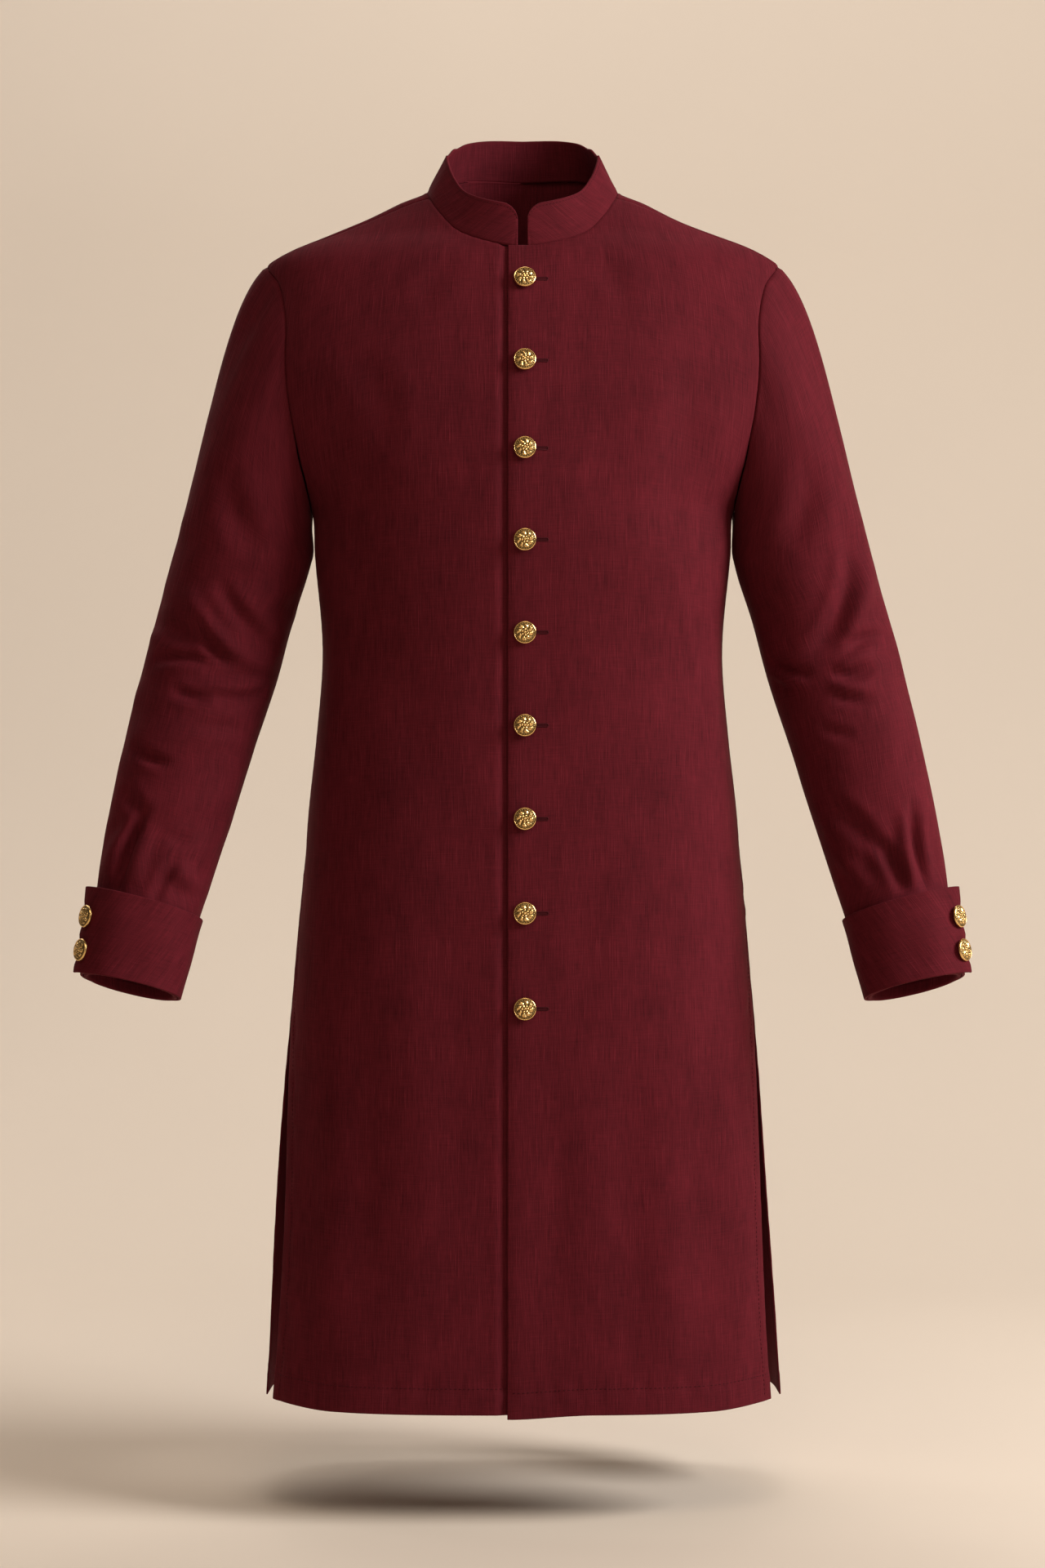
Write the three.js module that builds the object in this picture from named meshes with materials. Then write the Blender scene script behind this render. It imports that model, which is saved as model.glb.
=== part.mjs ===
// A long button-front kurta with a stand collar, set-in sleeves and turned-back cuffs,
// filled out as if worn. Millimetres, +Z up. The front faces -Y and the wearer's left is +X.
// The origin lies midway between the two points where the shoulders meet the collar.
// Every cloth piece is a hollow wall laid on one form, so neighbours share their seam lines.

import * as THREE from 'three';

// ---------------------------------------------------------------- driving dimensions

const CLOTH = 1.6; // one layer of body or sleeve cloth
const BAND = 2.4; // collar and cuff cloth, doubled
const SEAM = 0.32; // space between two pieces at a seam

const FRONT_HEM = -1078;
const BACK_HEM = -1089;
const SLIT_TOP = -605; // the side seams are open from here to the hem
const UNDERARM = -290;
const SHOULDER_SEAM = 14; // how far the shoulder seam lies forward of the ridge
const SIDE_SEAM_ANGLE = 0.05; // how far the side seams lie forward of the widest line, radians
const FRONT_SLIT_ANGLE = 0.56; // how far the front panels end from the widest line at the hem
const SEAM_DRIFT = 120; // below the underarm, how far down the side seams take to lean forward
const BACK_SLIT_EASE = 3; // how many times sooner than the hem the back's edge is at the widest line

// Where the fronts lap: how far each one passes the centre line, how far the left one lifts
// and the right one sinks, over how wide a reach, and how much of that is left at the neck.
const LAP = { left: 13, right: 22, lift: 1.2, sink: 3.4, sinkAtNeck: 2.2, reach: 46, fade: 40 };

// How far the left front's hem dips at its free edge and over what reach, and how far both
// front hems rise towards the slits, from what x and over what reach.
const HEM_DIP = { lap: 3.5, lapReach: 75, slit: 2.5, slitFrom: 165, slitReach: 50, fade: 3 };

// The form, level by level: half width, depth before and behind the side line, and the
// squareness of the oval, where 2 is an ellipse and more is boxier.
const FORM = [
  { z: 30, width: 83, front: 6, back: 62.5, square: 2.04 },
  { z: 0, width: 86, front: 14, back: 71, square: 2.12 },
  { z: -11, width: 112, front: 28, back: 75, square: 2 },
  { z: -26, width: 143, front: 39, back: 80, square: 2 },
  { z: -41, width: 178, front: 48, back: 85, square: 2 },
  { z: -55, width: 212, front: 60, back: 89, square: 2 },
  { z: -68, width: 232, front: 68, back: 93, square: 2 },
  { z: -90, width: 239, front: 78, back: 98, square: 2 },
  { z: -120, width: 246, front: 89, back: 104, square: 2 },
  { z: -160, width: 251, front: 101, back: 109, square: 2 },
  { z: -200, width: 241, front: 110, back: 112, square: 2.05 },
  { z: -246, width: 218, front: 117, back: 114, square: 2.1 },
  { z: -272, width: 201, front: 120, back: 114, square: 2.15 },
  { z: -292, width: 190, front: 121, back: 114, square: 2.2 },
  { z: -330, width: 188, front: 121, back: 111.5, square: 2.3 },
  { z: -418, width: 180, front: 116, back: 105.5, square: 2.4 },
  { z: -492, width: 184.5, front: 117, back: 109, square: 2.5 },
  { z: -566, width: 193, front: 122, back: 115.5, square: 2.55 },
  { z: -640, width: 199.5, front: 128, back: 123, square: 2.6 },
  { z: -788, width: 213.5, front: 137, back: 135, square: 2.7 },
  { z: -936, width: 223.5, front: 145, back: 144, square: 2.9 },
  { z: -1090, width: 232.5, front: 155, back: 152, square: 3.3 },
];

// The neck hole is an upright oval that cuts the form.
const NECK = { width: 86, front: 62, back: 65 };

// The armhole, from the underarm up the front, over the shoulder and down the back.
const ARMHOLE = [
  { y: 0, z: -290 },
  { y: -24, z: -284 },
  { y: -43, z: -264 },
  { y: -54, z: -232 },
  { y: -57.5, z: -195 },
  { y: -54, z: -155 },
  { y: -45, z: -118 },
  { y: -31, z: -88 },
  { y: -14, z: -71.5 },
  { y: 0, z: -68 },
  { y: 14, z: -71 },
  { y: 36, z: -88 },
  { y: 52, z: -118 },
  { y: 61, z: -155 },
  { y: 64, z: -195 },
  { y: 60, z: -235 },
  { y: 46, z: -267 },
  { y: 25, z: -284 },
];
const ARMHOLE_SEAM_ROW = 8; // the row where the shoulder seam meets the armhole
const ARMHOLE_TIP_ROW = 9;

// A sleeve below its cap, ring by ring: its outer and inner edge seen from the front, the
// depth where its middle lies, half its own depth, and how far its front stands above its
// middle and its back below it, because the forearm reaches forward.
const SLEEVE = [
  { outX: 293.5, outZ: -241, inX: 191, inZ: -333, y: -1, half: 62.5, drop: 0 },
  { outX: 308, outZ: -300, inX: 196, inZ: -352, y: -2, half: 61.5, drop: 0 },
  { outX: 323.5, outZ: -359, inX: 207.5, inZ: -388, y: -4, half: 60, drop: 0 },
  { outX: 338.5, outZ: -418, inX: 223, inZ: -447, y: -12, half: 57, drop: 0.5 },
  { outX: 352, outZ: -477, inX: 241.5, inZ: -506, y: -26, half: 53, drop: 1.5 },
  { outX: 363.5, outZ: -536, inX: 258.5, inZ: -565, y: -42, half: 48, drop: 3 },
  { outX: 373, outZ: -595, inX: 276, inZ: -622, y: -58, half: 43.5, drop: 5.5 },
  { outX: 377, outZ: -636, inX: 287.5, inZ: -660, y: -70, half: 40, drop: 8 },
  { outX: 383.5, outZ: -701, inX: 303, inZ: -719.5, y: -90, half: 34, drop: 8 },
];
const SLEEVE_SQUARE = 2.15;
const CROWD = 1.3; // how much the divisions up an armhole crowd towards the shoulder
const FOLD_TAPER = 0.8; // how softly a fold fades towards its ends, 1 being a sine
const FOLD_SIDE = 30; // how far forward of a sleeve's middle its folds reach their full depth
// The cap runs from the armhole to the first ring. It leaves the body along the arm, leaning
// out a little, and more so where the body faces up at the shoulder.
const CAP = { arm: new THREE.Vector3(0.26, 0, -0.97), lean: 0.08, shoulder: 0.9, start: 0.6 };

// A cuff, lower edge then upper edge, in the same terms as the sleeve's rings.
const CUFF = [
  { outX: 388.2, outZ: -704.5, inX: 300.2, inZ: -724.5, y: -90.5, half: 38, drop: 9 },
  { outX: 380, outZ: -630, inX: 283, inZ: -656, y: -68, half: 46, drop: 9 },
];
// The cuff is one strip: it starts under its own lap in front of the outer side, runs round
// the back, the inner side and the front, and ends at its free edge. Radians.
const CUFF_TURN = { start: 0.84, end: -5.95, lapStart: -4.5, lapFull: -5.3 };
const CUFF_LAP = { clear: 3, stand: 7, held: 4.4, holds: 0.2 };
const CUFF_BUTTON = { fromEdge: 0.24, heights: [0.62, 0.3] };

// The leans are in degrees, inwards. The collar stands proud of the seam line by `proud`.
const COLLAR = {
  height: 38, halfGap: 4.3, round: 15, leanFront: 8, leanSide: 27, leanBack: 14, proud: 0.3,
};
const COLLAR_END = [0, 2, 6, 11, 17]; // how far the columns of a rounded end lie from its edge
// How much more than its plain height the band stands where its foot lies at these depths,
// which keeps its top edge an even curve where the foot climbs over the shoulders.
const COLLAR_TRIM = [
  { y: 27, reach: 10, more: 4.5 },
  { y: 50, reach: 12, more: -2.6 },
];

const BUTTON = { shank: 2.4, shankLength: 2.2, seat: 0.3 };
// A button's head, as radius and height above its shank's end.
const BUTTON_HEAD = [
  { radius: 9.2, height: 0 },
  { radius: 10, height: 0.6 },
  { radius: 9.3, height: 1.2 },
  { radius: 5.5, height: 3 },
  { radius: 0, height: 3.9 },
];
const FRONT_BUTTONS = { count: 9, first: -90.6, pitch: 79, growth: 0.5, x: 2.1 };

// The largest folds: a soft trough, or a ridge where the depth is negative, along a line seen
// from the front (x, z). Its depth is greatest midway and fades at both ends.
const FRONT_FOLDS = [
  { x0: -146, z0: -360, x1: -186, z1: -596, width: 20, depth: -3.2 },
  { x0: 146, z0: -360, x1: 184, z1: -590, width: 20, depth: -2.6 },
  { x0: -139, z0: -700, x1: -141, z1: -1010, width: 24, depth: 3 },
  { x0: 92, z0: -740, x1: 100, z1: -1070, width: 26, depth: 3.4 },
  { x0: 31, z0: -820, x1: 28, z1: -1020, width: 20, depth: 1.6 },
  { x0: 160, z0: -215, x1: 128, z1: -345, width: 22, depth: 3 },
  { x0: -168, z0: -190, x1: -138, z1: -300, width: 24, depth: 2.4 },
];
const BACK_FOLDS = [
  { x0: 138, z0: -380, x1: 176, z1: -590, width: 22, depth: -3 },
  { x0: -136, z0: -370, x1: -178, z1: -600, width: 22, depth: -2.8 },
  { x0: 84, z0: -560, x1: 96, z1: -1060, width: 30, depth: 4 },
  { x0: -6, z0: -640, x1: -2, z1: -1040, width: 28, depth: 2.6 },
  { x0: -98, z0: -600, x1: -112, z1: -1070, width: 30, depth: 3.6 },
  { x0: -158, z0: -200, x1: -126, z1: -330, width: 24, depth: 3 },
  { x0: 162, z0: -190, x1: 134, z1: -310, width: 24, depth: 2.6 },
];
const SLEEVE_FOLDS = {
  left: [
    { x0: 296, z0: -300, x1: 262, z1: -420, width: 22, depth: 3 },
    { x0: 318, z0: -400, x1: 240, z1: -432, width: 20, depth: 3.4 },
    { x0: 356, z0: -566, x1: 366, z1: -640, width: 14, depth: 3 },
  ],
  right: [
    { x0: 330, z0: -392, x1: 288, z1: -412, width: 18, depth: 3.2 },
    { x0: 300, z0: -420, x1: 226, z1: -452, width: 20, depth: 3.6 },
    { x0: 342, z0: -560, x1: 364, z1: -642, width: 14, depth: 3 },
  ],
};

const HALVINGS = 36; // how often a search along a line halves its span

// How finely each wall is divided.
const DIVISIONS = {
  neck: 7, shoulder: 5, lap: 1, skirt: 9, waist: 6, armhole: 10,
  cap: 6, sleeve: 12, collar: 3, cuffRound: 30, cuffUp: 3, button: 10,
};

// ---------------------------------------------------------------- small mathematics

const lerp = (a, b, t) => a + (b - a) * t;
const clamp01 = (t) => Math.min(1, Math.max(0, t));
const smooth = (t) => clamp01(t) ** 2 * (3 - 2 * clamp01(t));
const steps = (count) => Array.from({ length: count + 1 }, (_, i) => i / count);

/** A cubic through p1 and p2, with the slopes m1 and m2 per unit of t. */
function hermite(p1, p2, m1, m2, t) {
  const t2 = t * t;
  const t3 = t2 * t;
  return (2 * t3 - 3 * t2 + 1) * p1 + (t3 - 2 * t2 + t) * m1
    + (3 * t2 - 2 * t3) * p2 + (t3 - t2) * m2;
}

/** One column of a table as a smooth curve, `at` being counted in rows. */
function alongRows(table, name, at, closed = false) {
  const n = table.length;
  const row = closed ? Math.floor(at) : Math.min(Math.max(Math.floor(at), 0), n - 2);
  const pick = (i) => table[closed ? (i + n) % n : Math.min(Math.max(i, 0), n - 1)][name];
  const [p0, p1, p2, p3] = [row - 1, row, row + 1, row + 2].map(pick);
  return hermite(p1, p2, (p2 - p0) / 2, (p3 - p1) / 2, at - row);
}

/** The form's columns at one level, smooth between the rows. */
function formAt(z) {
  let i = 0;
  while (i < FORM.length - 2 && FORM[i + 1].z > z) i += 1;
  const a = FORM[i];
  const b = FORM[i + 1];
  const before = FORM[Math.max(i - 1, 0)];
  const after = FORM[Math.min(i + 2, FORM.length - 1)];
  const gap = a.z - b.z;
  const t = (a.z - z) / gap;
  const value = (name) => {
    const m1 = before === a ? b[name] - a[name] : ((b[name] - before[name]) / (before.z - b.z)) * gap;
    const m2 = after === b ? b[name] - a[name] : ((after[name] - a[name]) / (a.z - after.z)) * gap;
    return hermite(a[name], b[name], m1, m2, t);
  };
  return { width: value('width'), front: value('front'), back: value('back'), square: value('square') };
}

/** A point of the form: angle 0 is the +X side, +90 degrees the front, -90 the back. */
function formPoint(angle, z) {
  const f = formAt(z);
  const c = Math.cos(angle);
  const s = Math.sin(angle);
  const r = (Math.abs(c) ** f.square + Math.abs(s) ** f.square) ** (-1 / f.square);
  return new THREE.Vector3(f.width * c * r, -(s > 0 ? f.front : f.back) * s * r, z);
}

/** The form's angle where the front stands at x on level z. */
function frontAngleAtX(x, z) {
  const f = formAt(z);
  const s = Math.min(Math.abs(x) / f.width, 0.99999);
  return Math.atan2((1 - s ** f.square) ** (1 / f.square), Math.sign(x) * s);
}

/** The form's angle on the +X side where its surface lies at depth y on level z. */
function angleAtY(y, z) {
  const f = formAt(z);
  const d = Math.min(Math.abs(y) / (y < 0 ? f.front : f.back), 0.99999);
  const s = (1 - d ** f.square) ** (1 / f.square);
  return -Math.sign(y) * Math.atan2(d, s);
}

/** Whether a point is outside the form. */
function isOutside({ x, y, z }) {
  const f = formAt(z);
  const depth = y < 0 ? f.front : f.back;
  return (Math.abs(x) / f.width) ** f.square + (Math.abs(y) / depth) ** f.square > 1;
}

/** Where a point lands on the form when it is pushed along a direction, back or on. */
function pressed(point, direction, back = 30, on = 120) {
  let inside = -back;
  let outside = on;
  for (let i = 0; i < HALVINGS; i += 1) {
    const middle = (inside + outside) / 2;
    if (isOutside(point.clone().addScaledVector(direction, middle))) outside = middle;
    else inside = middle;
  }
  return point.clone().addScaledVector(direction, inside);
}

const UP = new THREE.Vector3(0, 0, 1);
const CHEST_LEVEL = -150; // a level that is inside the form below every point of the shoulders

/** The point of the form's shoulder over (x, y) in plan. */
function shoulderPoint(x, y) {
  return pressed(new THREE.Vector3(x, y, CHEST_LEVEL), UP, 0, FORM[0].z - CHEST_LEVEL);
}

/** The form's angle and level at a point that lies on it. */
function placeOf({ x, y, z }) {
  const f = formAt(z);
  return [Math.atan2(-y / (y < 0 ? f.front : f.back), x / f.width), z];
}

/** The form's outward normal. */
function formNormal(angle, z) {
  const round = formPoint(angle + 1e-3, z).sub(formPoint(angle - 1e-3, z));
  const up = formPoint(angle, z + 0.5).sub(formPoint(angle, z - 0.5));
  return up.cross(round).normalize();
}

/** How deep the folds of a list press at (x, z). */
function foldDepth(folds, x, z) {
  let total = 0;
  for (const f of folds) {
    const [dx, dz] = [f.x1 - f.x0, f.z1 - f.z0];
    const t = ((x - f.x0) * dx + (z - f.z0) * dz) / (dx * dx + dz * dz);
    if (t > 0 && t < 1) {
      const away = Math.hypot(x - f.x0 - t * dx, z - f.z0 - t * dz) / f.width;
      total += f.depth * Math.exp(-away * away) * Math.sin(Math.PI * t) ** FOLD_TAPER;
    }
  }
  return total;
}

// ---------------------------------------------------------------- walls

/**
 * A closed wall from a grid of outer points and their normals: grid[row][column] is
 * { point, normal }. A wall closed round joins its last column to its first.
 */
function wall(grid, thickness, closedRound = false) {
  const rows = grid.length;
  const cols = grid[0].length;
  const positions = [];
  for (const inward of [0, thickness]) {
    for (const row of grid) {
      for (const { point, normal } of row) {
        positions.push(...point.clone().addScaledVector(normal, -inward).toArray());
      }
    }
  }
  const outer = (r, c) => r * cols + (c % cols);
  const inner = (r, c) => rows * cols + outer(r, c);
  const index = [];
  const quad = (a, b, c, d) => index.push(a, b, c, a, c, d);
  const lastCol = closedRound ? cols : cols - 1;
  for (let r = 0; r < rows - 1; r += 1) {
    for (let c = 0; c < lastCol; c += 1) {
      quad(outer(r, c), outer(r, c + 1), outer(r + 1, c + 1), outer(r + 1, c));
      quad(inner(r, c), inner(r + 1, c), inner(r + 1, c + 1), inner(r, c + 1));
    }
  }
  for (let c = 0; c < lastCol; c += 1) {
    quad(outer(0, c), inner(0, c), inner(0, c + 1), outer(0, c + 1));
    quad(outer(rows - 1, c), outer(rows - 1, c + 1), inner(rows - 1, c + 1), inner(rows - 1, c));
  }
  if (!closedRound) {
    for (let r = 0; r < rows - 1; r += 1) {
      quad(outer(r, 0), outer(r + 1, 0), inner(r + 1, 0), inner(r, 0));
      quad(outer(r, cols - 1), inner(r, cols - 1), inner(r + 1, cols - 1), outer(r + 1, cols - 1));
    }
  }
  const geometry = new THREE.BufferGeometry();
  geometry.setAttribute('position', new THREE.Float32BufferAttribute(positions, 3));
  geometry.setIndex(facesOut(positions, index) ? index : index.reverse());
  geometry.computeVertexNormals();
  return geometry;
}

/** Whether the triangles of a closed mesh face outwards, by the sign of its volume. */
function facesOut(positions, index) {
  const at = (i) => new THREE.Vector3().fromArray(positions, index[i] * 3);
  let volume = 0;
  for (let i = 0; i < index.length; i += 3) volume += at(i).dot(at(i + 1).cross(at(i + 2)));
  return volume > 0;
}

/** Draws one side of a grid back from its seam by half the seam's space. */
function drawBack(grid, side) {
  const [rows, cols] = [grid.length, grid[0].length];
  const pairs = {
    bottom: grid[0].map((cell, c) => [cell, grid[1][c]]),
    top: grid[rows - 1].map((cell, c) => [cell, grid[rows - 2][c]]),
    first: grid.map((row) => [row[0], row[1]]),
    last: grid.map((row) => [row[cols - 1], row[cols - 2]]),
  }[side];
  for (const [edge, next] of pairs) {
    const step = next.point.clone().sub(edge.point).setLength(SEAM / 2);
    edge.point.add(step);
  }
}

const mirrored = (grid) => grid.map((row) => row.map(({ point, normal }) => ({
  point: new THREE.Vector3(-point.x, point.y, point.z),
  normal: new THREE.Vector3(-normal.x, normal.y, normal.z),
})));

// ---------------------------------------------------------------- seam lines of the body

/** A point of the neck seam at a plan angle: 90 degrees is the front, 0 the side. */
function neckPoint(plan) {
  const depth = plan > 0 ? NECK.front : NECK.back;
  return shoulderPoint(NECK.width * Math.cos(plan), -depth * Math.sin(plan));
}
const NECK_SEAM = Math.asin(SHOULDER_SEAM / NECK.front); // plan angle at the shoulder seam

/** A point of the armhole seam, `at` being counted in rows of its table. */
function armholePoint(at) {
  const z = alongRows(ARMHOLE, 'z', at, true);
  return formPoint(angleAtY(alongRows(ARMHOLE, 'y', at, true), z), z);
}

/** Steps that crowd towards the shoulder. */
const risingSteps = steps(DIVISIONS.armhole).map((t) => 1 - (1 - t) ** CROWD);

/** The armhole seam of a front (facing 1) or back (-1) half, from the underarm up. */
const armholeEdge = (facing) => risingSteps.map((t) => armholePoint(facing > 0
  ? t * ARMHOLE_SEAM_ROW
  : ARMHOLE.length - t * (ARMHOLE.length - ARMHOLE_SEAM_ROW)));

/** The upper edge of a half panel: the neck seam from the centre, then the shoulder seam. */
function upperEdge(facing) {
  const centre = (facing * Math.PI) / 2;
  const neck = steps(DIVISIONS.neck).map((t) => neckPoint(lerp(centre, NECK_SEAM, t)));
  const start = neck[DIVISIONS.neck];
  const tip = armholePoint(ARMHOLE_SEAM_ROW);
  const shoulder = steps(DIVISIONS.shoulder).slice(1)
    .map((t) => shoulderPoint(lerp(start.x, tip.x, t), lerp(start.y, tip.y, t)));
  return [...neck, ...shoulder];
}

/** The side edge's angle on level z. Below the slit's top, the front and back part. */
function sideAngle(z, facing) {
  const down = clamp01((SLIT_TOP - z) / (SLIT_TOP - FRONT_HEM));
  const seam = SIDE_SEAM_ANGLE * smooth((UNDERARM - z) / SEAM_DRIFT);
  return facing > 0
    ? lerp(seam, FRONT_SLIT_ANGLE, 1 - (1 - down) ** 2)
    : lerp(seam, 0, clamp01(BACK_SLIT_EASE * down));
}

// ---------------------------------------------------------------- body panels

/** The rows below the underarm, all level, as [angle, level] places from the centre out. */
function lowerRows(facing, hem, share) {
  const centre = (facing * Math.PI) / 2;
  const levels = [
    ...steps(DIVISIONS.skirt).map((t) => lerp(hem, SLIT_TOP, t)),
    ...steps(DIVISIONS.waist).slice(1).map((t) => lerp(SLIT_TOP, UNDERARM, t)),
  ];
  return levels.map((z) => share.map((u) => [lerp(centre, sideAngle(z, facing), u), z]));
}

/** How far a front's hem hangs below its level at x: down at a lap's edge, up at the slit. */
const hemDip = (x, lapDip) => lapDip * smooth(1 - (x + LAP.left) / HEM_DIP.lapReach)
  - HEM_DIP.slit * smooth((x - HEM_DIP.slitFrom) / HEM_DIP.slitReach);

/**
 * The rows above the underarm. A blend of the four edges (the underarm's level, the neck and
 * shoulder, the centre line and the armhole) is pressed on the form, outwards low down and
 * upwards near the shoulder.
 */
function upperRows(facing, share) {
  const centre = (facing * Math.PI) / 2;
  const base = share.map((u) => formPoint(lerp(centre, 0, u), UNDERARM));
  const top = upperEdge(facing);
  const arm = armholeEdge(facing);
  const end = share.length - 1;
  const line = risingSteps.map((v) => formPoint(centre, lerp(UNDERARM, top[0].z, v)));
  return risingSteps.slice(1).map((v, j) => {
    const tilt = (v * Math.PI) / 2;
    const direction = new THREE.Vector3(0, -facing * Math.cos(tilt), Math.sin(tilt));
    const atCentre = line[j + 1].clone().sub(base[0].clone().lerp(top[0], v));
    const atArm = arm[j + 1].clone().sub(base[end].clone().lerp(top[end], v));
    return share.map((u, i) => {
      if (i === 0) return [centre, line[j + 1].z];
      const blend = base[i].clone().lerp(top[i], v)
        .addScaledVector(atCentre, 1 - u).addScaledVector(atArm, u);
      const onEdge = i === end || v === 1;
      return placeOf(onEdge ? blend : pressed(blend, direction));
    });
  });
}

/**
 * The +X half of a body panel, as a grid of cells with the centre line first. A lap adds
 * columns beyond the centre line. The lift moves each point out along its normal.
 */
function halfPanel({ facing, hem, lap, lift, dip = () => 0 }) {
  const share = steps(DIVISIONS.neck + DIVISIONS.shoulder);
  const places = [...lowerRows(facing, hem, share), ...upperRows(facing, share)];
  const beyond = lap ? steps(DIVISIONS.lap).slice(0, -1).map((t) => lerp(-lap, 0, t)) : [];
  return places.map((row) => {
    const level = row[0][1];
    const whole = [...beyond.map((x) => [frontAngleAtX(x, level), level]), ...row];
    return whole.map(([angle, z]) => {
      const low = clamp01((SLIT_TOP - z) / (SLIT_TOP - hem)) ** HEM_DIP.fade;
      const hung = z - low * dip(formPoint(angle, z).x);
      const point = formPoint(angle, hung);
      const normal = formNormal(angle, hung);
      return { point: point.addScaledVector(normal, lift(point)), normal };
    });
  });
}

/** 0 at the neck seam and 1 from a little way below it. */
const belowNeck = (z) => smooth((neckPoint(Math.PI / 2).z - z) / LAP.fade);

/** Lifts the left front off the right one towards its free edge. */
function leftFrontLift({ x, z }) {
  const over = smooth(1 - (x + LAP.left) / LAP.reach);
  return LAP.lift * over * belowNeck(z) - foldDepth(FRONT_FOLDS, x, z);
}

/** Sinks the right front, made on +X and mirrored, under the left one. */
function rightFrontLift({ x, z }) {
  const under = smooth((LAP.reach - LAP.left - x) / (LAP.reach - 2 * LAP.left));
  return -lerp(LAP.sinkAtNeck, LAP.sink, belowNeck(z)) * under - foldDepth(FRONT_FOLDS, -x, z);
}

function frontPanel(lap, lift, lapDip) {
  const dip = (x) => hemDip(x, lapDip);
  const grid = halfPanel({ facing: 1, hem: FRONT_HEM, lap, lift, dip });
  ['top', 'last'].forEach((side) => drawBack(grid, side));
  return grid;
}

function backPanel() {
  const half = (sign) => halfPanel({
    facing: -1,
    hem: BACK_HEM,
    lap: 0,
    lift: ({ x, z }) => -foldDepth(BACK_FOLDS, sign * x, z),
  });
  const right = mirrored(half(-1)).map((row) => row.reverse());
  const grid = half(1).map((row, r) => [...right[r].slice(0, -1), ...row]);
  ['first', 'last', 'top'].forEach((side) => drawBack(grid, side));
  return grid;
}

// ---------------------------------------------------------------- sleeves and cuffs

/** One ring of a limb table: its middle, half width vector, half depth and drop. */
function ringAt(table, at) {
  const value = (name) => alongRows(table, name, at);
  const out = new THREE.Vector3(value('outX'), value('y'), value('outZ'));
  const inner = new THREE.Vector3(value('inX'), value('y'), value('inZ'));
  return {
    middle: out.clone().add(inner).multiplyScalar(0.5),
    across: out.sub(inner).multiplyScalar(0.5),
    half: value('half'),
    drop: value('drop'),
  };
}

/** A point of a ring: angle 0 is its outer edge, +90 degrees its front. */
function ringPoint(ring, angle, square, grow = 0) {
  const c = Math.cos(angle);
  const s = Math.sin(angle);
  const r = (Math.abs(c) ** square + Math.abs(s) ** square) ** (-1 / square);
  const width = ring.across.length();
  return ring.middle.clone()
    .addScaledVector(ring.across, (c * r * (width + grow)) / width)
    .add(new THREE.Vector3(0, -s * r * (ring.half + grow), s * r * ring.drop));
}

/** Outward normals of a grid of points, from its own rows and columns. */
function withNormals(points, closedRound, middles) {
  const rows = points.length;
  const cols = points[0].length;
  return points.map((row, r) => row.map((point, c) => {
    const [before, after] = closedRound
      ? [(c + cols - 1) % cols, (c + 1) % cols]
      : [Math.max(c - 1, 0), Math.min(c + 1, cols - 1)];
    const round = row[after].clone().sub(row[before]);
    const up = points[Math.min(r + 1, rows - 1)][c].clone().sub(points[Math.max(r - 1, 0)][c]);
    const normal = up.cross(round).normalize();
    if (normal.dot(point.clone().sub(middles[r])) < 0) normal.negate();
    return { point, normal };
  }));
}

/** The body's armhole seam as a loop from the underarm, up the front and down the back. */
function armholeLoop() {
  const back = armholeEdge(-1).reverse();
  return [...armholeEdge(1), ...back.slice(1, -1)];
}

/** A sleeve made on +X: its cap, then the rings of its table. */
function sleeve(folds) {
  const seam = armholeLoop();
  const tip = armholePoint(ARMHOLE_TIP_ROW);
  const hole = {
    middle: tip.clone().add(seam[0]).multiplyScalar(0.5),
    across: tip.clone().sub(seam[0]).multiplyScalar(0.5),
    half: Math.max(...ARMHOLE.map(({ y }) => y)),
  };
  const angles = seam.map((point) => {
    const away = point.clone().sub(hole.middle);
    return Math.atan2(-away.y / hole.half, away.dot(hole.across) / hole.across.lengthSq());
  });
  const first = ringAt(SLEEVE, 0);
  const next = ringAt(SLEEVE, 0.1);
  const middles = [];
  const cap = steps(DIVISIONS.cap).slice(0, -1).map((t) => {
    middles.push(hole.middle.clone().lerp(first.middle, t));
    return seam.map((point, j) => {
      const end = ringPoint(first, angles[j], SLEEVE_SQUARE);
      const onward = ringPoint(next, angles[j], SLEEVE_SQUARE).sub(end);
      const facing = formNormal(...placeOf(point));
      const leave = CAP.arm.clone()
        .addScaledVector(facing, CAP.lean + CAP.shoulder * Math.max(facing.z, 0));
      const span = end.distanceTo(point);
      leave.setLength(CAP.start * span);
      onward.setLength(span);
      const at = (axis) => hermite(point[axis], end[axis], leave[axis], onward[axis], t);
      return new THREE.Vector3(at('x'), at('y'), at('z'));
    });
  });
  const arm = steps(DIVISIONS.sleeve).map((t) => {
    const ring = ringAt(SLEEVE, t * (SLEEVE.length - 1));
    middles.push(ring.middle);
    return angles.map((angle) => ringPoint(ring, angle, SLEEVE_SQUARE));
  });
  const grid = withNormals([...cap, ...arm], true, middles);
  grid.slice(1).forEach((row, r) => row.forEach(({ point, normal }) => {
    const seen = smooth((middles[r + 1].y - point.y) / FOLD_SIDE);
    point.addScaledVector(normal, -foldDepth(folds, point.x, point.z) * seen);
  }));
  settleCap(grid, seam);
  drawBack(grid, 'bottom');
  return grid;
}

/**
 * Where the sleeve runs on from the body, its edge takes the body's own normal, so the two
 * cut faces stay parallel. Under the arm, where they fold back on each other, it keeps its own.
 */
function settleCap(grid, seam) {
  seam.forEach((point, j) => {
    const bodyNormal = formNormal(...placeOf(point));
    const cell = grid[0][j];
    const along = smooth(cell.normal.dot(bodyNormal) * 2);
    cell.normal.lerp(bodyNormal, along).normalize();
  });
}

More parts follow.
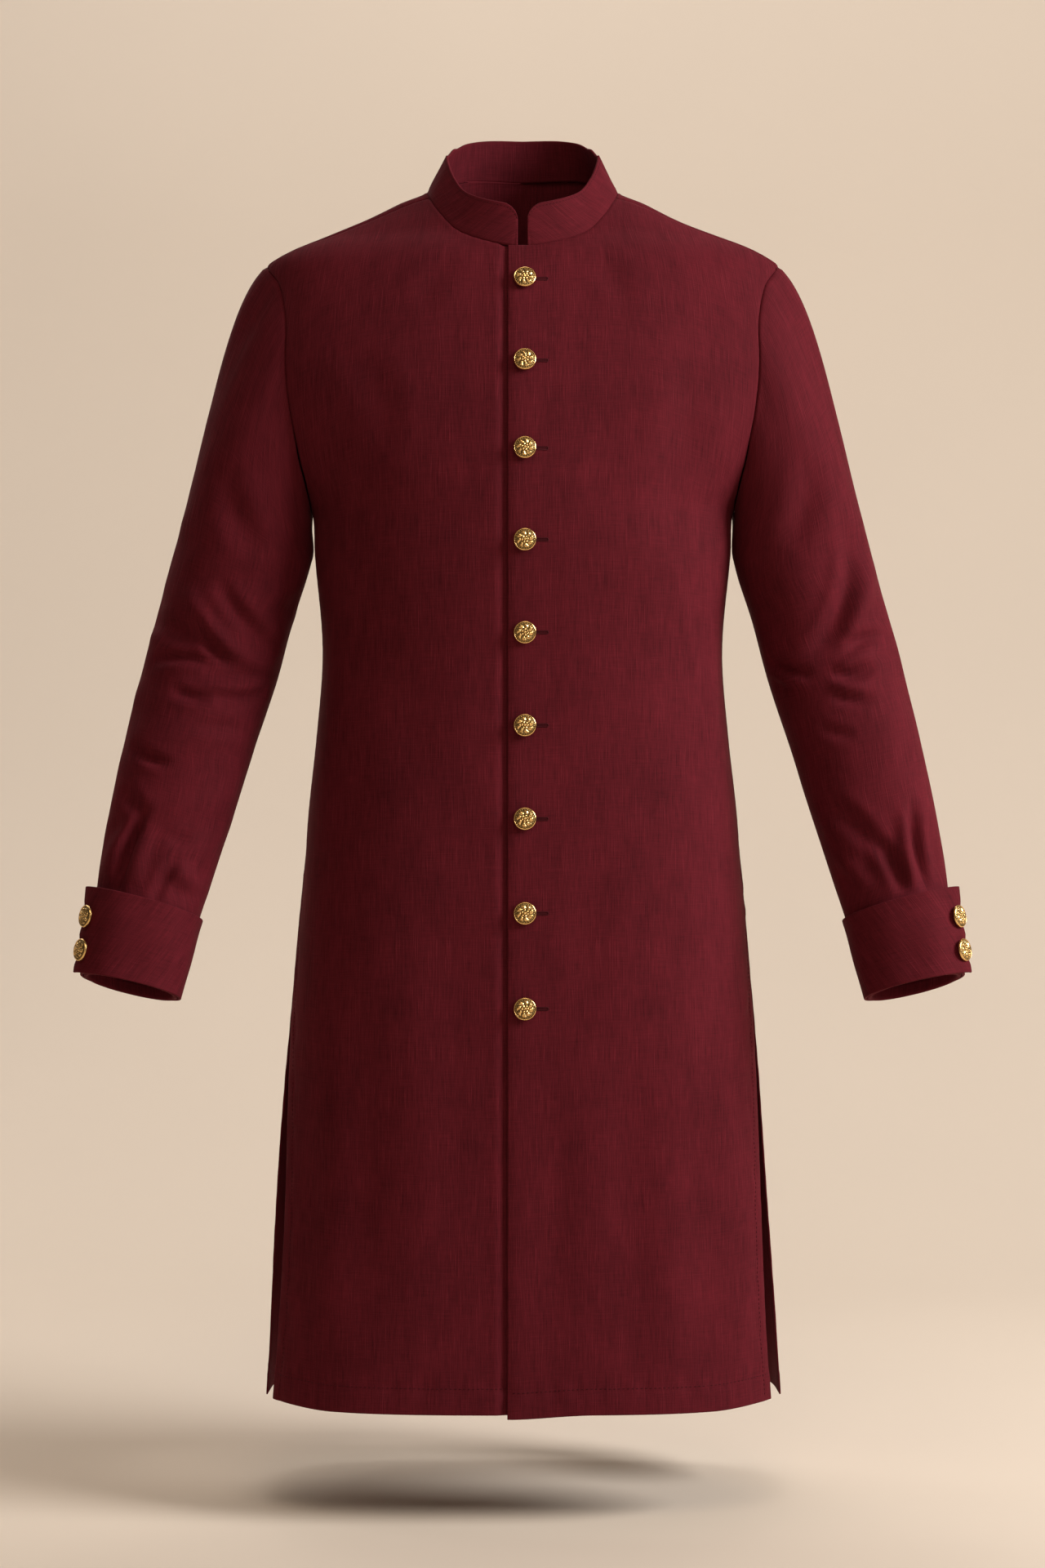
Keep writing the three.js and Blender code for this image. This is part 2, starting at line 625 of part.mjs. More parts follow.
/** How far a cuff's strip stands out from its ring, at a turn angle and a height share. */
function cuffStand(turn, height) {
  if (turn > CUFF_TURN.lapStart) return 0;
  const over = smooth((CUFF_TURN.lapStart - turn) / (CUFF_TURN.lapStart - CUFF_TURN.lapFull));
  const end = smooth((CUFF_TURN.lapFull - turn) / (CUFF_TURN.lapFull - CUFF_TURN.end));
  const held = Math.min(...CUFF_BUTTON.heights.map((h) => Math.abs(height - h) / CUFF_LAP.holds));
  const stand = lerp(CUFF_LAP.held, CUFF_LAP.stand, smooth(held));
  return CUFF_LAP.clear * over + (stand - CUFF_LAP.clear) * end;
}

/** A cuff made on +X, with its free edge in the last column. */
function cuff() {
  const middles = [];
  const points = steps(DIVISIONS.cuffUp).map((height) => {
    const ring = ringAt(CUFF, height);
    middles.push(ring.middle);
    return steps(DIVISIONS.cuffRound).map((t) => {
      const turn = lerp(CUFF_TURN.start, CUFF_TURN.end, t);
      return ringPoint(ring, turn, SLEEVE_SQUARE, cuffStand(turn, height));
    });
  });
  return withNormals(points, false, middles);
}

// ---------------------------------------------------------------- collar

/** The collar's columns: more of them at its rounded ends, then those of the neck seam. */
function collarPlans() {
  const corner = COLLAR_END.map((x) => Math.acos((COLLAR.halfGap + x) / NECK.width));
  const front = steps(DIVISIONS.neck).map((t) => lerp(Math.PI / 2, NECK_SEAM, t))
    .filter((plan) => plan < Math.min(...corner));
  const back = steps(DIVISIONS.neck).map((t) => lerp(NECK_SEAM, -Math.PI / 2, t)).slice(1);
  const half = [...corner, ...front, ...back];
  const other = half.slice(0, -1).reverse().map((plan) => Math.PI - plan);
  return [...half, ...other];
}

/** A point of the neck seam as the panels are cut there, straight between their columns. */
function neckFoot(plan) {
  const centre = plan > NECK_SEAM ? Math.PI / 2 : -Math.PI / 2;
  const at = ((plan - centre) / (NECK_SEAM - centre)) * DIVISIONS.neck;
  const column = Math.min(Math.floor(at), DIVISIONS.neck - 1);
  const point = (i) => neckPoint(lerp(centre, NECK_SEAM, i / DIVISIONS.neck));
  return point(column).lerp(point(column + 1), at - column);
}

/** One column of the collar: its foot on the neck seam, its rise and its outward normal. */
function collarColumn(plan) {
  const side = Math.cos(plan) < 0 ? -1 : 1;
  const folded = side < 0 ? Math.PI - plan : plan;
  const own = folded > Math.PI ? folded - 2 * Math.PI : folded;
  const foot = neckFoot(own);
  const depth = own > 0 ? NECK.front : NECK.back;
  const out = new THREE.Vector3(Math.cos(own) / NECK.width, -Math.sin(own) / depth, 0).normalize();
  const endLean = own > 0 ? COLLAR.leanFront : COLLAR.leanBack;
  const lean = THREE.MathUtils.degToRad(lerp(endLean, COLLAR.leanSide, Math.cos(own) ** 2));
  const rise = out.clone().multiplyScalar(-Math.sin(lean)).addScaledVector(UP, Math.cos(lean));
  const normal = out.multiplyScalar(Math.cos(lean)).addScaledVector(UP, Math.sin(lean));
  [foot, rise, normal].forEach((v) => v.setX(v.x * side));
  return { foot, rise, normal };
}

/** How much the band is heightened over a foot at depth y. */
const collarTrim = (y) => COLLAR_TRIM
  .reduce((sum, trim) => sum + trim.more * Math.exp(-(((y - trim.y) / trim.reach) ** 2)), 0);

/** The collar band, its two front ends rounded at the top. */
function collar() {
  const columns = collarPlans().map(collarColumn);
  const heights = columns.map(({ foot }, i) => {
    const front = foot.y < 0 && Math.abs(foot.x) < COLLAR.round + COLLAR.halfGap;
    const short = front ? COLLAR.round - (Math.abs(foot.x) - COLLAR.halfGap) : 0;
    const drop = COLLAR.round - Math.sqrt(Math.max(COLLAR.round ** 2 - short ** 2, 0));
    const end = i === 0 || i === columns.length - 1;
    return COLLAR.height + collarTrim(foot.y) - (end ? COLLAR.round : drop);
  });
  return steps(DIVISIONS.collar).map((t) => columns.map(({ foot, rise, normal }, i) => ({
    point: foot.clone().addScaledVector(rise, lerp(SEAM, heights[i], t))
      .addScaledVector(normal, COLLAR.proud),
    normal,
  })));
}

// ---------------------------------------------------------------- buttons

/** A domed shank button standing on +Z, its shank's foot at the origin. */
function buttonGeometry() {
  const { shank, shankLength } = BUTTON;
  const profile = [
    new THREE.Vector2(0, 0),
    new THREE.Vector2(shank, 0),
    new THREE.Vector2(shank, shankLength),
    ...BUTTON_HEAD.map(({ radius, height }) => new THREE.Vector2(radius, shankLength + height)),
  ];
  return new THREE.LatheGeometry(profile, DIVISIONS.button).rotateX(Math.PI / 2);
}

/** A place between the cells of a grid, its row and column counted with fractions. */
function cellAt(grid, row, column) {
  const [r, c] = [Math.floor(row), Math.floor(column)];
  const mix = (name) => {
    const line = (i) => grid[i][c][name].clone().lerp(grid[i][c + 1][name], column - c);
    return line(r).lerp(line(r + 1), row - r);
  };
  return { point: mix('point'), normal: mix('normal').normalize() };
}

/** Seats a button on a cloth cell, standing along the cloth's normal. */
function seatButton(mesh, { point, normal }) {
  mesh.position.copy(point).addScaledVector(normal, BUTTON.seat);
  mesh.quaternion.setFromUnitVectors(UP, normal);
}

/** Levels down the centre front, spaced along the cloth, each step a little longer. */
function buttonLevels() {
  const levels = [FRONT_BUTTONS.first];
  let z = FRONT_BUTTONS.first;
  let walked = 0;
  while (levels.length < FRONT_BUTTONS.count) {
    const step = FRONT_BUTTONS.pitch + FRONT_BUTTONS.growth * (levels.length - 1);
    walked += Math.hypot(1, formAt(z).front - formAt(z - 1).front);
    z -= 1;
    if (walked >= step) {
      levels.push(z);
      walked -= step;
    }
  }
  return levels;
}

// ---------------------------------------------------------------- the kurta

const maroon = new THREE.MeshStandardMaterial({ color: 0x5a1a24, roughness: 0.85, metalness: 0 });
const gold = new THREE.MeshStandardMaterial({ color: 0xc9a35a, roughness: 0.3, metalness: 1 });

const kurta = new THREE.Group();

function add(name, geometry, material = maroon) {
  const mesh = new THREE.Mesh(geometry, material);
  mesh.name = name;
  kurta.add(mesh);
  return mesh;
}

const leftFront = frontPanel(LAP.left, leftFrontLift, HEM_DIP.lap);
const cuffGrid = cuff();
const sides = { left: (grid) => grid, right: mirrored };

add('front_left', wall(leftFront, CLOTH));
add('front_right', wall(mirrored(frontPanel(LAP.right, rightFrontLift, 0)), CLOTH));
add('back', wall(backPanel(), CLOTH));
add('collar', wall(collar(), BAND));
for (const [name, turn] of Object.entries(sides)) {
  add(`sleeve_${name}`, wall(turn(sleeve(SLEEVE_FOLDS[name])), CLOTH, true));
  add(`cuff_${name}`, wall(turn(cuffGrid), BAND));
}

buttonLevels().forEach((z, i) => {
  const centre = leftFront.map((row) => row[DIVISIONS.lap].point);
  const row = centre.findIndex((point) => point.z > z) - 1;
  const rise = (z - centre[row].z) / (centre[row + 1].z - centre[row].z);
  const aside = FRONT_BUTTONS.x / leftFront[row][DIVISIONS.lap + 1].point.x;
  const cell = cellAt(leftFront, row + rise, DIVISIONS.lap + aside);
  seatButton(add(`front_button_${i + 1}`, buttonGeometry(), gold), cell);
});

for (const [name, turn] of Object.entries(sides)) {
  const grid = turn(cuffGrid);
  const around = 1 - CUFF_BUTTON.fromEdge / (CUFF_TURN.start - CUFF_TURN.end);
  CUFF_BUTTON.heights.forEach((height, i) => {
    const cell = cellAt(grid, height * DIVISIONS.cuffUp, around * DIVISIONS.cuffRound);
    seatButton(add(`cuff_button_${name}_${i + 1}`, buttonGeometry(), gold), cell);
  });
}

export default kurta;
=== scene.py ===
"""Dresses the kurta: slubbed cloth with seams, creases and stitches, embossed buttons, a stage.

Shapes are worked out in millimetres as whole numpy arrays and put into meshes in metres.
+Z is up, the front faces -Y and the wearer's left is +X.
"""

import math

import bpy
import numpy as np
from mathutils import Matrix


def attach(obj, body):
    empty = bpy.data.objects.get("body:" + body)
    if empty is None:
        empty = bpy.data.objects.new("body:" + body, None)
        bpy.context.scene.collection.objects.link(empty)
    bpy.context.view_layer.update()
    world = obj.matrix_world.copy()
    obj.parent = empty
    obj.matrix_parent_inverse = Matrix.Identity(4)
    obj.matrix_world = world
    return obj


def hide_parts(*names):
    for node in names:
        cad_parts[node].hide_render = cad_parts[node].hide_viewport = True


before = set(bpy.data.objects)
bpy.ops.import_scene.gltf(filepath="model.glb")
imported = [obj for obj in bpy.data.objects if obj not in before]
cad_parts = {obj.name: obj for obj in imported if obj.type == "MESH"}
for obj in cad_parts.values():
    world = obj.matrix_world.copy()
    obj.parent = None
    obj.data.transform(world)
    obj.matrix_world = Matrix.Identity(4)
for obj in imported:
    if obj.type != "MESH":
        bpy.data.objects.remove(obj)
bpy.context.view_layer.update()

bl_info = {
    "name": "Kurta",
    "version": (1, 0, 0),
    "blender": (4, 5, 0),
    "location": "3D View > Sidebar > Kurta",
    "description": "Builds a long buttoned kurta with a stand collar and turned-back cuffs",
    "category": "Object",
}

# ---------------------------------------------------------------- sizes, in millimetres

CLOTH = 1.6
BAND = 2.4
SEAM = 0.32
FRONT_HEM = -1078.0
BACK_HEM = -1089.0
SLIT_TOP = -605.0
UNDERARM = -290.0
SHOULDER_SEAM = 14.0
SIDE_SEAM_ANGLE = 0.05
SEAM_DRIFT = 120.0
FRONT_SLIT_ANGLE = 0.56
BACK_SLIT_EASE = 3.0
LAP = {
    "left": 13.0, "right": 22.0, "lift": 1.2, "sink": 3.2, "sink_at_neck": 2.2,
    "reach": 46.0, "step": 11.0, "fade": 40.0, "roll": 0.8, "roll_reach": 4.0,
}
HEM_DIP = {
    "lap": 3.5, "lap_reach": 75.0, "slit": 2.5, "slit_from": 165.0, "slit_reach": 50.0, "fade": 3.0,
}
NECK_WIDTH, NECK_FRONT, NECK_BACK = 86.0, 62.0, 65.0
CHEST_LEVEL = -150.0
HALVINGS = 34
MIRROR = np.array([-1.0, 1.0, 1.0])
UP = np.array([0.0, 0.0, 1.0])
BOTH = ("left", "right")

# Where the eye stands before the garment's middle plane, and on which level.
EYE_AWAY, EYE_LEVEL = 2900.0, -536.0


def table(names, rows):
    """A short table as a dictionary of columns."""
    return {name: np.array(column, float) for name, column in zip(names.split(), zip(*rows))}


FORM = table("z width front back square", [
    (30, 83, 6, 62.5, 2.04), (0, 86, 14, 71, 2.12), (-11, 112, 28, 75, 2), (-26, 143, 39, 80, 2),
    (-41, 178, 48, 85, 2), (-55, 212, 60, 89, 2), (-68, 232, 68, 93, 2), (-90, 239, 78, 98, 2),
    (-120, 246, 89, 104, 2), (-160, 251, 101, 109, 2), (-200, 241, 110, 112, 2.05),
    (-246, 218, 117, 114, 2.1), (-272, 201, 120, 114, 2.15), (-292, 190, 121, 114, 2.2),
    (-330, 188, 121, 111.5, 2.3), (-418, 180, 116, 105.5, 2.4), (-492, 184.5, 117, 109, 2.5),
    (-566, 193, 122, 115.5, 2.55), (-640, 199.5, 128, 123, 2.6), (-788, 213.5, 137, 135, 2.7),
    (-936, 223.5, 145, 144, 2.9), (-1090, 232.5, 155, 152, 3.3),
])

# The armhole, from the underarm up the front, over the shoulder and down the back.
ARMHOLE = table("y z", [
    (0, -290), (-24, -284), (-43, -264), (-54, -232), (-57.5, -195), (-54, -155), (-45, -118),
    (-31, -88), (-14, -71.5), (0, -68), (14, -71), (36, -88), (52, -118), (61, -155), (64, -195),
    (60, -235), (46, -267), (25, -284),
])
ARMHOLE_ROWS = 18
ARMHOLE_SEAM_ROW = 8
ARMHOLE_TIP_ROW = 9
CROWD = 1.3

# A limb's rings: the outer and inner edge seen from the front, the middle's depth, half the
# depth, and how far the front stands above the middle, and the back below it.
SLEEVE = table("out_x out_z in_x in_z y half drop", [
    (293.5, -241, 191, -333, -1, 62.5, 0), (308, -300, 196, -352, -2, 61.5, 0),
    (323.5, -359, 207.5, -388, -4, 60, 0), (338.5, -418, 223, -447, -12, 57, 0.5),
    (352, -477, 241.5, -506, -26, 53, 1.5), (363.5, -536, 258.5, -565, -42, 48, 3),
    (373, -595, 276, -622, -58, 43.5, 5.5), (377, -636, 287.5, -660, -70, 40, 8),
    (383.5, -701, 303, -719.5, -90, 34, 8),
])
SLEEVE_SQUARE = 2.15
CAP_ARM = (0.26, 0.0, -0.97)
CAP_LEAN, CAP_SHOULDER, CAP_START = 0.08, 0.9, 0.6
FOLD_TAPER = 0.8
FOLD_SIDE, CREASE_SIDE = 30.0, 24.0

# Levels where the sleeves' cloth is most uneven, and how far that reaches.
ELBOW, WRIST = (-425.0, 90.0), (-610.0, 50.0)

CUFF = table("out_x out_z in_x in_z y half drop", [
    (388.2, -704.5, 300.2, -724.5, -90.5, 38, 9), (380, -630, 283, -656, -68, 46, 9),
])
CUFF_TURN = {"start": 0.84, "end": -5.95, "lap_start": -4.5, "lap_full": -5.3}
CUFF_LAP = {"clear": 3.0, "stand": 7.0, "held": 4.4, "holds": 0.2}
CUFF_BUTTON_FROM_EDGE = 0.24
CUFF_BUTTON_HEIGHTS = (0.62, 0.3)

COLLAR = {
    "height": 38.0, "half_gap": 4.3, "round": 15.0,
    "lean_front": 8.0, "lean_side": 27.0, "lean_back": 14.0, "proud": 0.3, "foot": -1.0,
}

# How much more than its plain height the band stands where its foot lies at these depths.
COLLAR_TRIM = table("y reach more", [(27, 10, 4.5), (50, 12, -2.6)])

BUTTON = {"shank": 2.4, "shank_length": 2.2, "seat": 0.3, "radius": 10.0, "dome": 3.4, "rim": 1.1}
BUTTONHOLE_ENDS = (-2.0, 19.0)
FRONT_BUTTONS = {"count": 9, "first": -90.6, "pitch": 79.0, "growth": 0.5, "x": 2.1}

# The largest folds, as lines seen from the front, with a trough's depth, or a ridge's if negative.
FOLDS = "x0 z0 x1 z1 width depth"
FRONT_FOLDS = table(FOLDS, [
    (-146, -360, -186, -596, 20, -3.2), (146, -360, 184, -590, 20, -2.6),
    (-139, -700, -141, -1010, 24, 3), (92, -740, 100, -1070, 26, 3.4),
    (31, -820, 28, -1020, 20, 1.6), (160, -215, 128, -345, 22, 3),
    (-168, -190, -138, -300, 24, 2.4),
])
BACK_FOLDS = table(FOLDS, [
    (138, -380, 176, -590, 22, -3), (-136, -370, -178, -600, 22, -2.8),
    (84, -560, 96, -1060, 30, 4), (-6, -640, -2, -1040, 28, 2.6),
    (-98, -600, -112, -1070, 30, 3.6), (-158, -200, -126, -330, 24, 3),
    (162, -190, 134, -310, 24, 2.6),
])
SLEEVE_FOLDS = {
    "left": table(FOLDS, [
        (296, -300, 262, -420, 22, 3), (318, -400, 240, -432, 20, 3.4),
        (356, -566, 366, -640, 14, 3),
    ]),
    "right": table(FOLDS, [
        (330, -392, 288, -412, 18, 3.2), (300, -420, 226, -452, 20, 3.6),
        (342, -560, 364, -642, 14, 3),
    ]),
}

# Finer creases: the same columns, and how far the line bows to its left midway. Each kind is
# this many times as deep as its table says.
CREASE_DEPTH = {"sleeve": 3.3, "panel": 1.5}
RIPPLE_SIZE, RIPPLE_TALL = 130.0, 0.45
CREASES = "x0 z0 x1 z1 bow width depth"
SLEEVE_CREASES = {
    "right": table(CREASES, [
        (306, -360, 226, -434, 10, 7, -1.8), (277, -351, 219, -415, 6, 7, 1.9),
        (296, -380, 262, -430, 6, 5, 1.3), (338, -388, 292, -410, -3, 8, 1.4),
        (337, -425, 277, -429, -6, 5, 1.9), (295, -443, 226, -443, 4, 5, -1.4),
        (318, -450, 281, -459, 2, 5, 1.9), (281, -459, 236, -457, 2, 5, 1.3),
        (298, -486, 244, -490, -3, 6, 0.9), (355, -499, 318, -517, 4.5, 5, 1.7),
        (362, -538, 338, -566, 3, 7, 1.2), (369, -633, 343, -559, -3, 4.5, 2.4),
        (379, -622, 357, -566, -3, 5, -0.9), (353, -628, 333, -572, -3, 6, -1.0),
        (318, -605, 291, -633, 2, 8, -1.2), (322, -586, 300, -583, 2, 6, 0.9),
        (308, -600, 336, -648, 3, 5, 1.1), (270, -250, 234, -330, 8, 12, 1.2),
    ]),
    "left": table(CREASES, [
        (297, -302, 258, -419, 17, 8, 2.1), (314, -330, 280, -428, 10, 7, -1.1),
        (292, -411, 332, -402, 3, 5, 1.7), (284, -432, 320, -418, 3, 5, -1.5),
        (280, -437, 320, -431, -3, 5, 1.7), (276, -444, 314, -448, -3, 5, -1.3),
        (280, -456, 320, -458, -3, 5, 1.3), (222, -424, 262, -436, -3, 5, 1.4),
        (224, -434, 262, -446, -2, 5, -1.0), (268, -484, 302, -491, -2, 5, 1.0),
        (270, -552, 322, -600, 6, 9, 1.6), (318, -582, 346, -634, 3, 6, 1.8),
        (284, -598, 314, -634, 2, 7, -1.1), (353, -548, 368, -634, -3, 5, 2.2),
        (344, -560, 358, -634, -3, 6, -1.1), (262, -240, 238, -322, 8, 13, 1.2),
    ]),
}
SLEEVE_BACK_CREASES = {
    "right": table(CREASES, [
        (332, -392, 262, -402, 6, 8, 1.9), (322, -428, 250, -424, -5, 7, 2.1),
        (336, -470, 280, -462, 5, 8, 1.5), (348, -540, 300, -560, 5, 9, 1.6),
        (300, -300, 252, -380, 8, 13, 1.8), (356, -600, 330, -640, 4, 7, 1.9),
    ]),
    "left": table(CREASES, [
        (326, -384, 256, -398, 6, 8, 2.0), (330, -420, 262, -432, -4, 7, 1.8),
        (326, -462, 270, -468, -5, 7, 1.6), (350, -528, 306, -552, 5, 9, 1.7),
        (296, -290, 250, -372, 8, 12, 1.9), (362, -606, 336, -642, 4, 7, 1.8),
    ]),
}
FRONT_CREASES = table(CREASES, [
    (-150, -150, -120, -250, 10, 15, 1.1), (150, -160, 112, -290, 12, 16, 1.3),
    (178, -250, 140, -345, 8, 12, 1.2), (-176, -250, -146, -330, -8, 12, 1.1),
    (60, -70, 96, -120, 6, 11, 0.8), (-58, -72, -90, -118, -6, 11, 0.8),
    (-60, -640, -52, -1040, 8, 26, 1.4), (152, -820, 160, -1060, 4, 22, 1.8),
    (-190, -760, -196, -1050, 4, 16, 1.6), (-26, -700, -30, -1060, 4, 14, 1.0),
    (62, -560, 58, -760, -4, 22, 0.8), (-96, -400, -84, -560, -6, 26, 0.9),
])
BACK_CREASES = table(CREASES, [
    (-120, -130, -60, -210, 10, 18, 1.3), (124, -126, 70, -200, -10, 18, 1.2),
    (-70, -380, 66, -392, 8, 16, 1.6), (-58, -430, 84, -420, -8, 15, 1.4),
    (40, -700, 46, -1050, 6, 24, 1.6), (-54, -680, -60, -1060, -6, 22, 1.5),
    (160, -800, 166, -1060, 4, 18, 1.6), (-170, -760, -178, -1050, 4, 18, 1.6),
])

# How many cells each grid has along its sides, and about how long those sides are.
FINE = {
    "lower": 178, "upper": 66, "front": 92, "back": 76, "loop": 50, "cap": 26, "arm": 120,
    "cuff_up": 22, "cuff_round": 120, "turn": 120, "collar_up": 16, "collar_round": 95,
}
SPAN = {"panel": 290, "arm": 470, "cuff_up": 78, "cuff_round": 310, "collar_up": 38}
EDGE_STEPS = (0.0, 0.4, 1.1, 2.2)
HEM_TURN = 22.5
SLIT_TURN = 11.0
COLLAR_STITCH = 3.2

# Each cloth piece's thickness, flat size and area, how it is held and what it rests on.
SHEETS = {
    "front": (CLOTH, (0.34, 1.05), 0.265, "hung", ["collar", "back"]),
    "back": (CLOTH, (0.74, 1.13), 0.585, "hung", ["front_left", "front_right"]),
    "collar": (BAND, (0.45, 0.04), 0.0172, "gathered", ["back", "front_left"]),
    "sleeve": (CLOTH, (0.4, 0.66), 0.188, "hung", ["back", "front_SIDE"]),
    "cuff": (BAND, (0.31, 0.08), 0.0236, "folded", ["sleeve_SIDE"]),
    "cuff_turn": (0.9, (0.235, 0.021), None, "folded", ["sleeve_SIDE"]),
}

# Lamps: place, aim, size, which power they share and how much of it, and tint.
NEUTRAL, WARM = (1.0, 1.0, 1.0), (1.0, 0.84, 0.68)
GARMENT = (0.05, 0.0, -0.5)
LAMPS = {
    "key_light": ((2.6, -1.0, 0.9), GARMENT, 1.6, "key_power", 1.0, NEUTRAL),
    "front_light": ((0.2, -2.0, 2.0), GARMENT, 1.6, "fill_power", 1.0, WARM),
    "low_front_light": ((0.0, -3.8, 0.3), (0.0, 0.0, -0.5), 2.0, "fill_power", 0.4, WARM),
    "left_wall_light": ((-2.4, 1.2, 1.6), (-1.0, 2.7, -0.3), 1.4, "wall_power", 1.0, NEUTRAL),
    "middle_wall_light": ((0.0, 1.3, 2.6), (0.0, 2.7, 0.2), 1.6, "wall_power", 2.25, NEUTRAL),
    "floor_light": ((-0.7, 1.0, 0.3), (-0.8, 0.5, -1.17), 1.0, "wall_power", 0.3, NEUTRAL),
}

# ---------------------------------------------------------------- sums on arrays


def lerp(a, b, t):
    return a + (b - a) * t


def smooth(t):
    t = np.clip(t, 0, 1)
    return t * t * (3 - 2 * t)


def bell(x, centre, width):
    """The bell curve exp(-((x - centre) / width)^2)."""
    return np.exp(-(((x - centre) / width) ** 2))


def hermite(p1, p2, m1, m2, t):
    """A cubic through p1 and p2, with the slopes m1 and m2 per unit of t."""
    return (
        (2 * t**3 - 3 * t**2 + 1) * p1
        + (t**3 - 2 * t**2 + t) * m1
        + (3 * t**2 - 2 * t**3) * p2
        + (t**3 - t**2) * m2
    )


def along(columns, name, at, closed=False):
    """One column of a table as a smooth curve, `at` being counted in rows."""
    column = columns[name]
    n = len(column)
    at = np.asarray(at, float)
    row = np.floor(at).astype(int)
    if not closed:
        row = np.clip(row, 0, n - 2)

    def pick(i):
        return column[i % n] if closed else column[np.clip(i, 0, n - 1)]

    p0, p1, p2, p3 = pick(row - 1), pick(row), pick(row + 1), pick(row + 2)
    return hermite(p1, p2, (p2 - p0) / 2, (p3 - p1) / 2, at - row)


def form_at(z):
    """The form's half width, depths and squareness on level z, smooth between its rows."""
    z = np.asarray(z, float)
    level = FORM["z"]
    last = len(level) - 1
    i = np.clip(np.searchsorted(-level, -z, side="left") - 1, 0, last - 1)
    before = np.maximum(i - 1, 0)
    after = np.minimum(i + 2, last)
    gap = level[i] - level[i + 1]
    t = (level[i] - z) / gap
    out = []
    for name in ("width", "front", "back", "square"):
        c = FORM[name]
        step = c[i + 1] - c[i]
        m1 = np.where(i == 0, step, (c[i + 1] - c[before]) / (level[before] - level[i + 1]) * gap)
        m2 = np.where(i == last - 1, step, (c[after] - c[i]) / (level[i] - level[after]) * gap)
        out.append(hermite(c[i], c[i + 1], m1, m2, t))
    return out


def round_reach(c, s, square):
    """The polar radius of an oval |x|^n + |y|^n = 1 in the direction (c, s)."""
    return (np.abs(c) ** square + np.abs(s) ** square) ** (-1 / square)


def form_point(angle, z):
    """A point of the form: angle 0 is the +X side, a quarter turn the front."""
    angle, z = np.broadcast_arrays(np.asarray(angle, float), np.asarray(z, float))
    width, front, back, square = form_at(z)
    c = np.cos(angle)
    s = np.sin(angle)
    r = round_reach(c, s, square)
    depth = np.where(s > 0, front, back)
    return np.stack([width * c * r, -depth * s * r, z], -1)


def unit(v):
    return v / np.linalg.norm(v, axis=-1, keepdims=True)


def form_normal(angle, z):
    """The form's outward normal, from small steps round it and up it."""
    around = form_point(angle + 1e-3, z) - form_point(angle - 1e-3, z)
    up = form_point(angle, z + 0.5) - form_point(angle, z - 0.5)
    return unit(np.cross(up, around))


def front_angle_at_x(x, z):
    width, _, _, square = form_at(z)
    s = np.minimum(np.abs(x) / width, 0.99999)
    return np.arctan2((1 - s**square) ** (1 / square), np.sign(x) * s)


def angle_at_y(y, z):
    _, front, back, square = form_at(z)
    d = np.minimum(np.abs(y) / np.where(y < 0, front, back), 0.99999)
    return -np.sign(y) * np.arctan2(d, (1 - d**square) ** (1 / square))


def is_outside(points):
    width, front, back, square = form_at(points[..., 2])
    y = points[..., 1]
    depth = np.where(y < 0, front, back)
    return (np.abs(points[..., 0]) / width) ** square + (np.abs(y) / depth) ** square > 1


def pressed(points, direction, back=30.0, on=120.0):
    """Where points land on the form when pushed along a direction, by halving the span."""
    inside = np.full(points.shape[:-1], -back)
    outside = np.full(points.shape[:-1], on)
    for _ in range(HALVINGS):
        middle = (inside + outside) / 2
        out = is_outside(points + direction * middle[..., None])
        outside = np.where(out, middle, outside)
        inside = np.where(out, inside, middle)
    return points + direction * inside[..., None]


def shoulder_point(x, y):
    x, y = np.broadcast_arrays(np.asarray(x, float), np.asarray(y, float))
    start = np.stack([x, y, np.full(x.shape, CHEST_LEVEL)], -1)
    return pressed(start, np.array([0.0, 0.0, 1.0]), 0.0, FORM["z"][0] - CHEST_LEVEL)


def place_of(points):
    """The form's angle at points that lie on it."""
    width, front, back, _ = form_at(points[..., 2])
    y = points[..., 1]
    return np.arctan2(-y / np.where(y < 0, front, back), points[..., 0] / width)


def line_depth(lines, x, z):
    """
    How deep folds press at (x, z). Each is a trough along a line that bows like a parabola:
    depth * exp(-(distance / width)^2) * sin(pi * t)^taper, with a low ridge on both sides.
    """
    total = np.zeros(np.shape(x))
    bows = lines.get("bow", np.zeros(len(lines["x0"])))
    raised = 0.3 if "bow" in lines else 0.0
    rows = zip(*(lines[k] for k in ("x0", "z0", "x1", "z1", "width", "depth")), bows)
    for x0, z0, x1, z1, width, depth, bow in rows:
        dx, dz = x1 - x0, z1 - z0
        length = math.hypot(dx, dz)
        t = ((x - x0) * dx + (z - z0) * dz) / length**2
        aside = ((z - z0) * dx - (x - x0) * dz) / length
        inside = (t > 0) & (t < 1)
        fade = np.where(inside, np.sin(math.pi * np.clip(t, 0, 1)), 0) ** FOLD_TAPER
        away = (aside - bow * 4 * t * (1 - t)) / width
        total += depth * fade * (bell(away, 0, 1) - raised * bell(np.abs(away), 1.7, 0.8))
    return total


def ripple(x, z, seed, size, count=7):
    """Soft unevenness: a sum of cosines in random directions, about 1 high and `size` long."""
    rng = np.random.default_rng(seed)
    total = np.zeros(np.shape(x))
    for _ in range(count):
        turn = rng.uniform(0, math.pi)
        wave = 2 * math.pi / (size * rng.uniform(0.6, 1.6))
        phase = rng.uniform(0, 2 * math.pi)
        total += np.cos((x * math.cos(turn) + z * math.sin(turn)) * wave + phase)
    return total / math.sqrt(count)


def lengths(points, axis):
    """Distances along a grid's rows or columns, from its first line."""
    step = np.linalg.norm(np.diff(points, axis=axis), axis=-1)
    start = np.zeros_like(np.take(step, [0], axis))
    return np.concatenate([start, np.cumsum(step, axis)], axis)


def wrapped(grid, axis=1):
    """A grid with its first column, or row, once more at its end."""
    return np.concatenate([grid, np.take(grid, [0], axis)], axis)


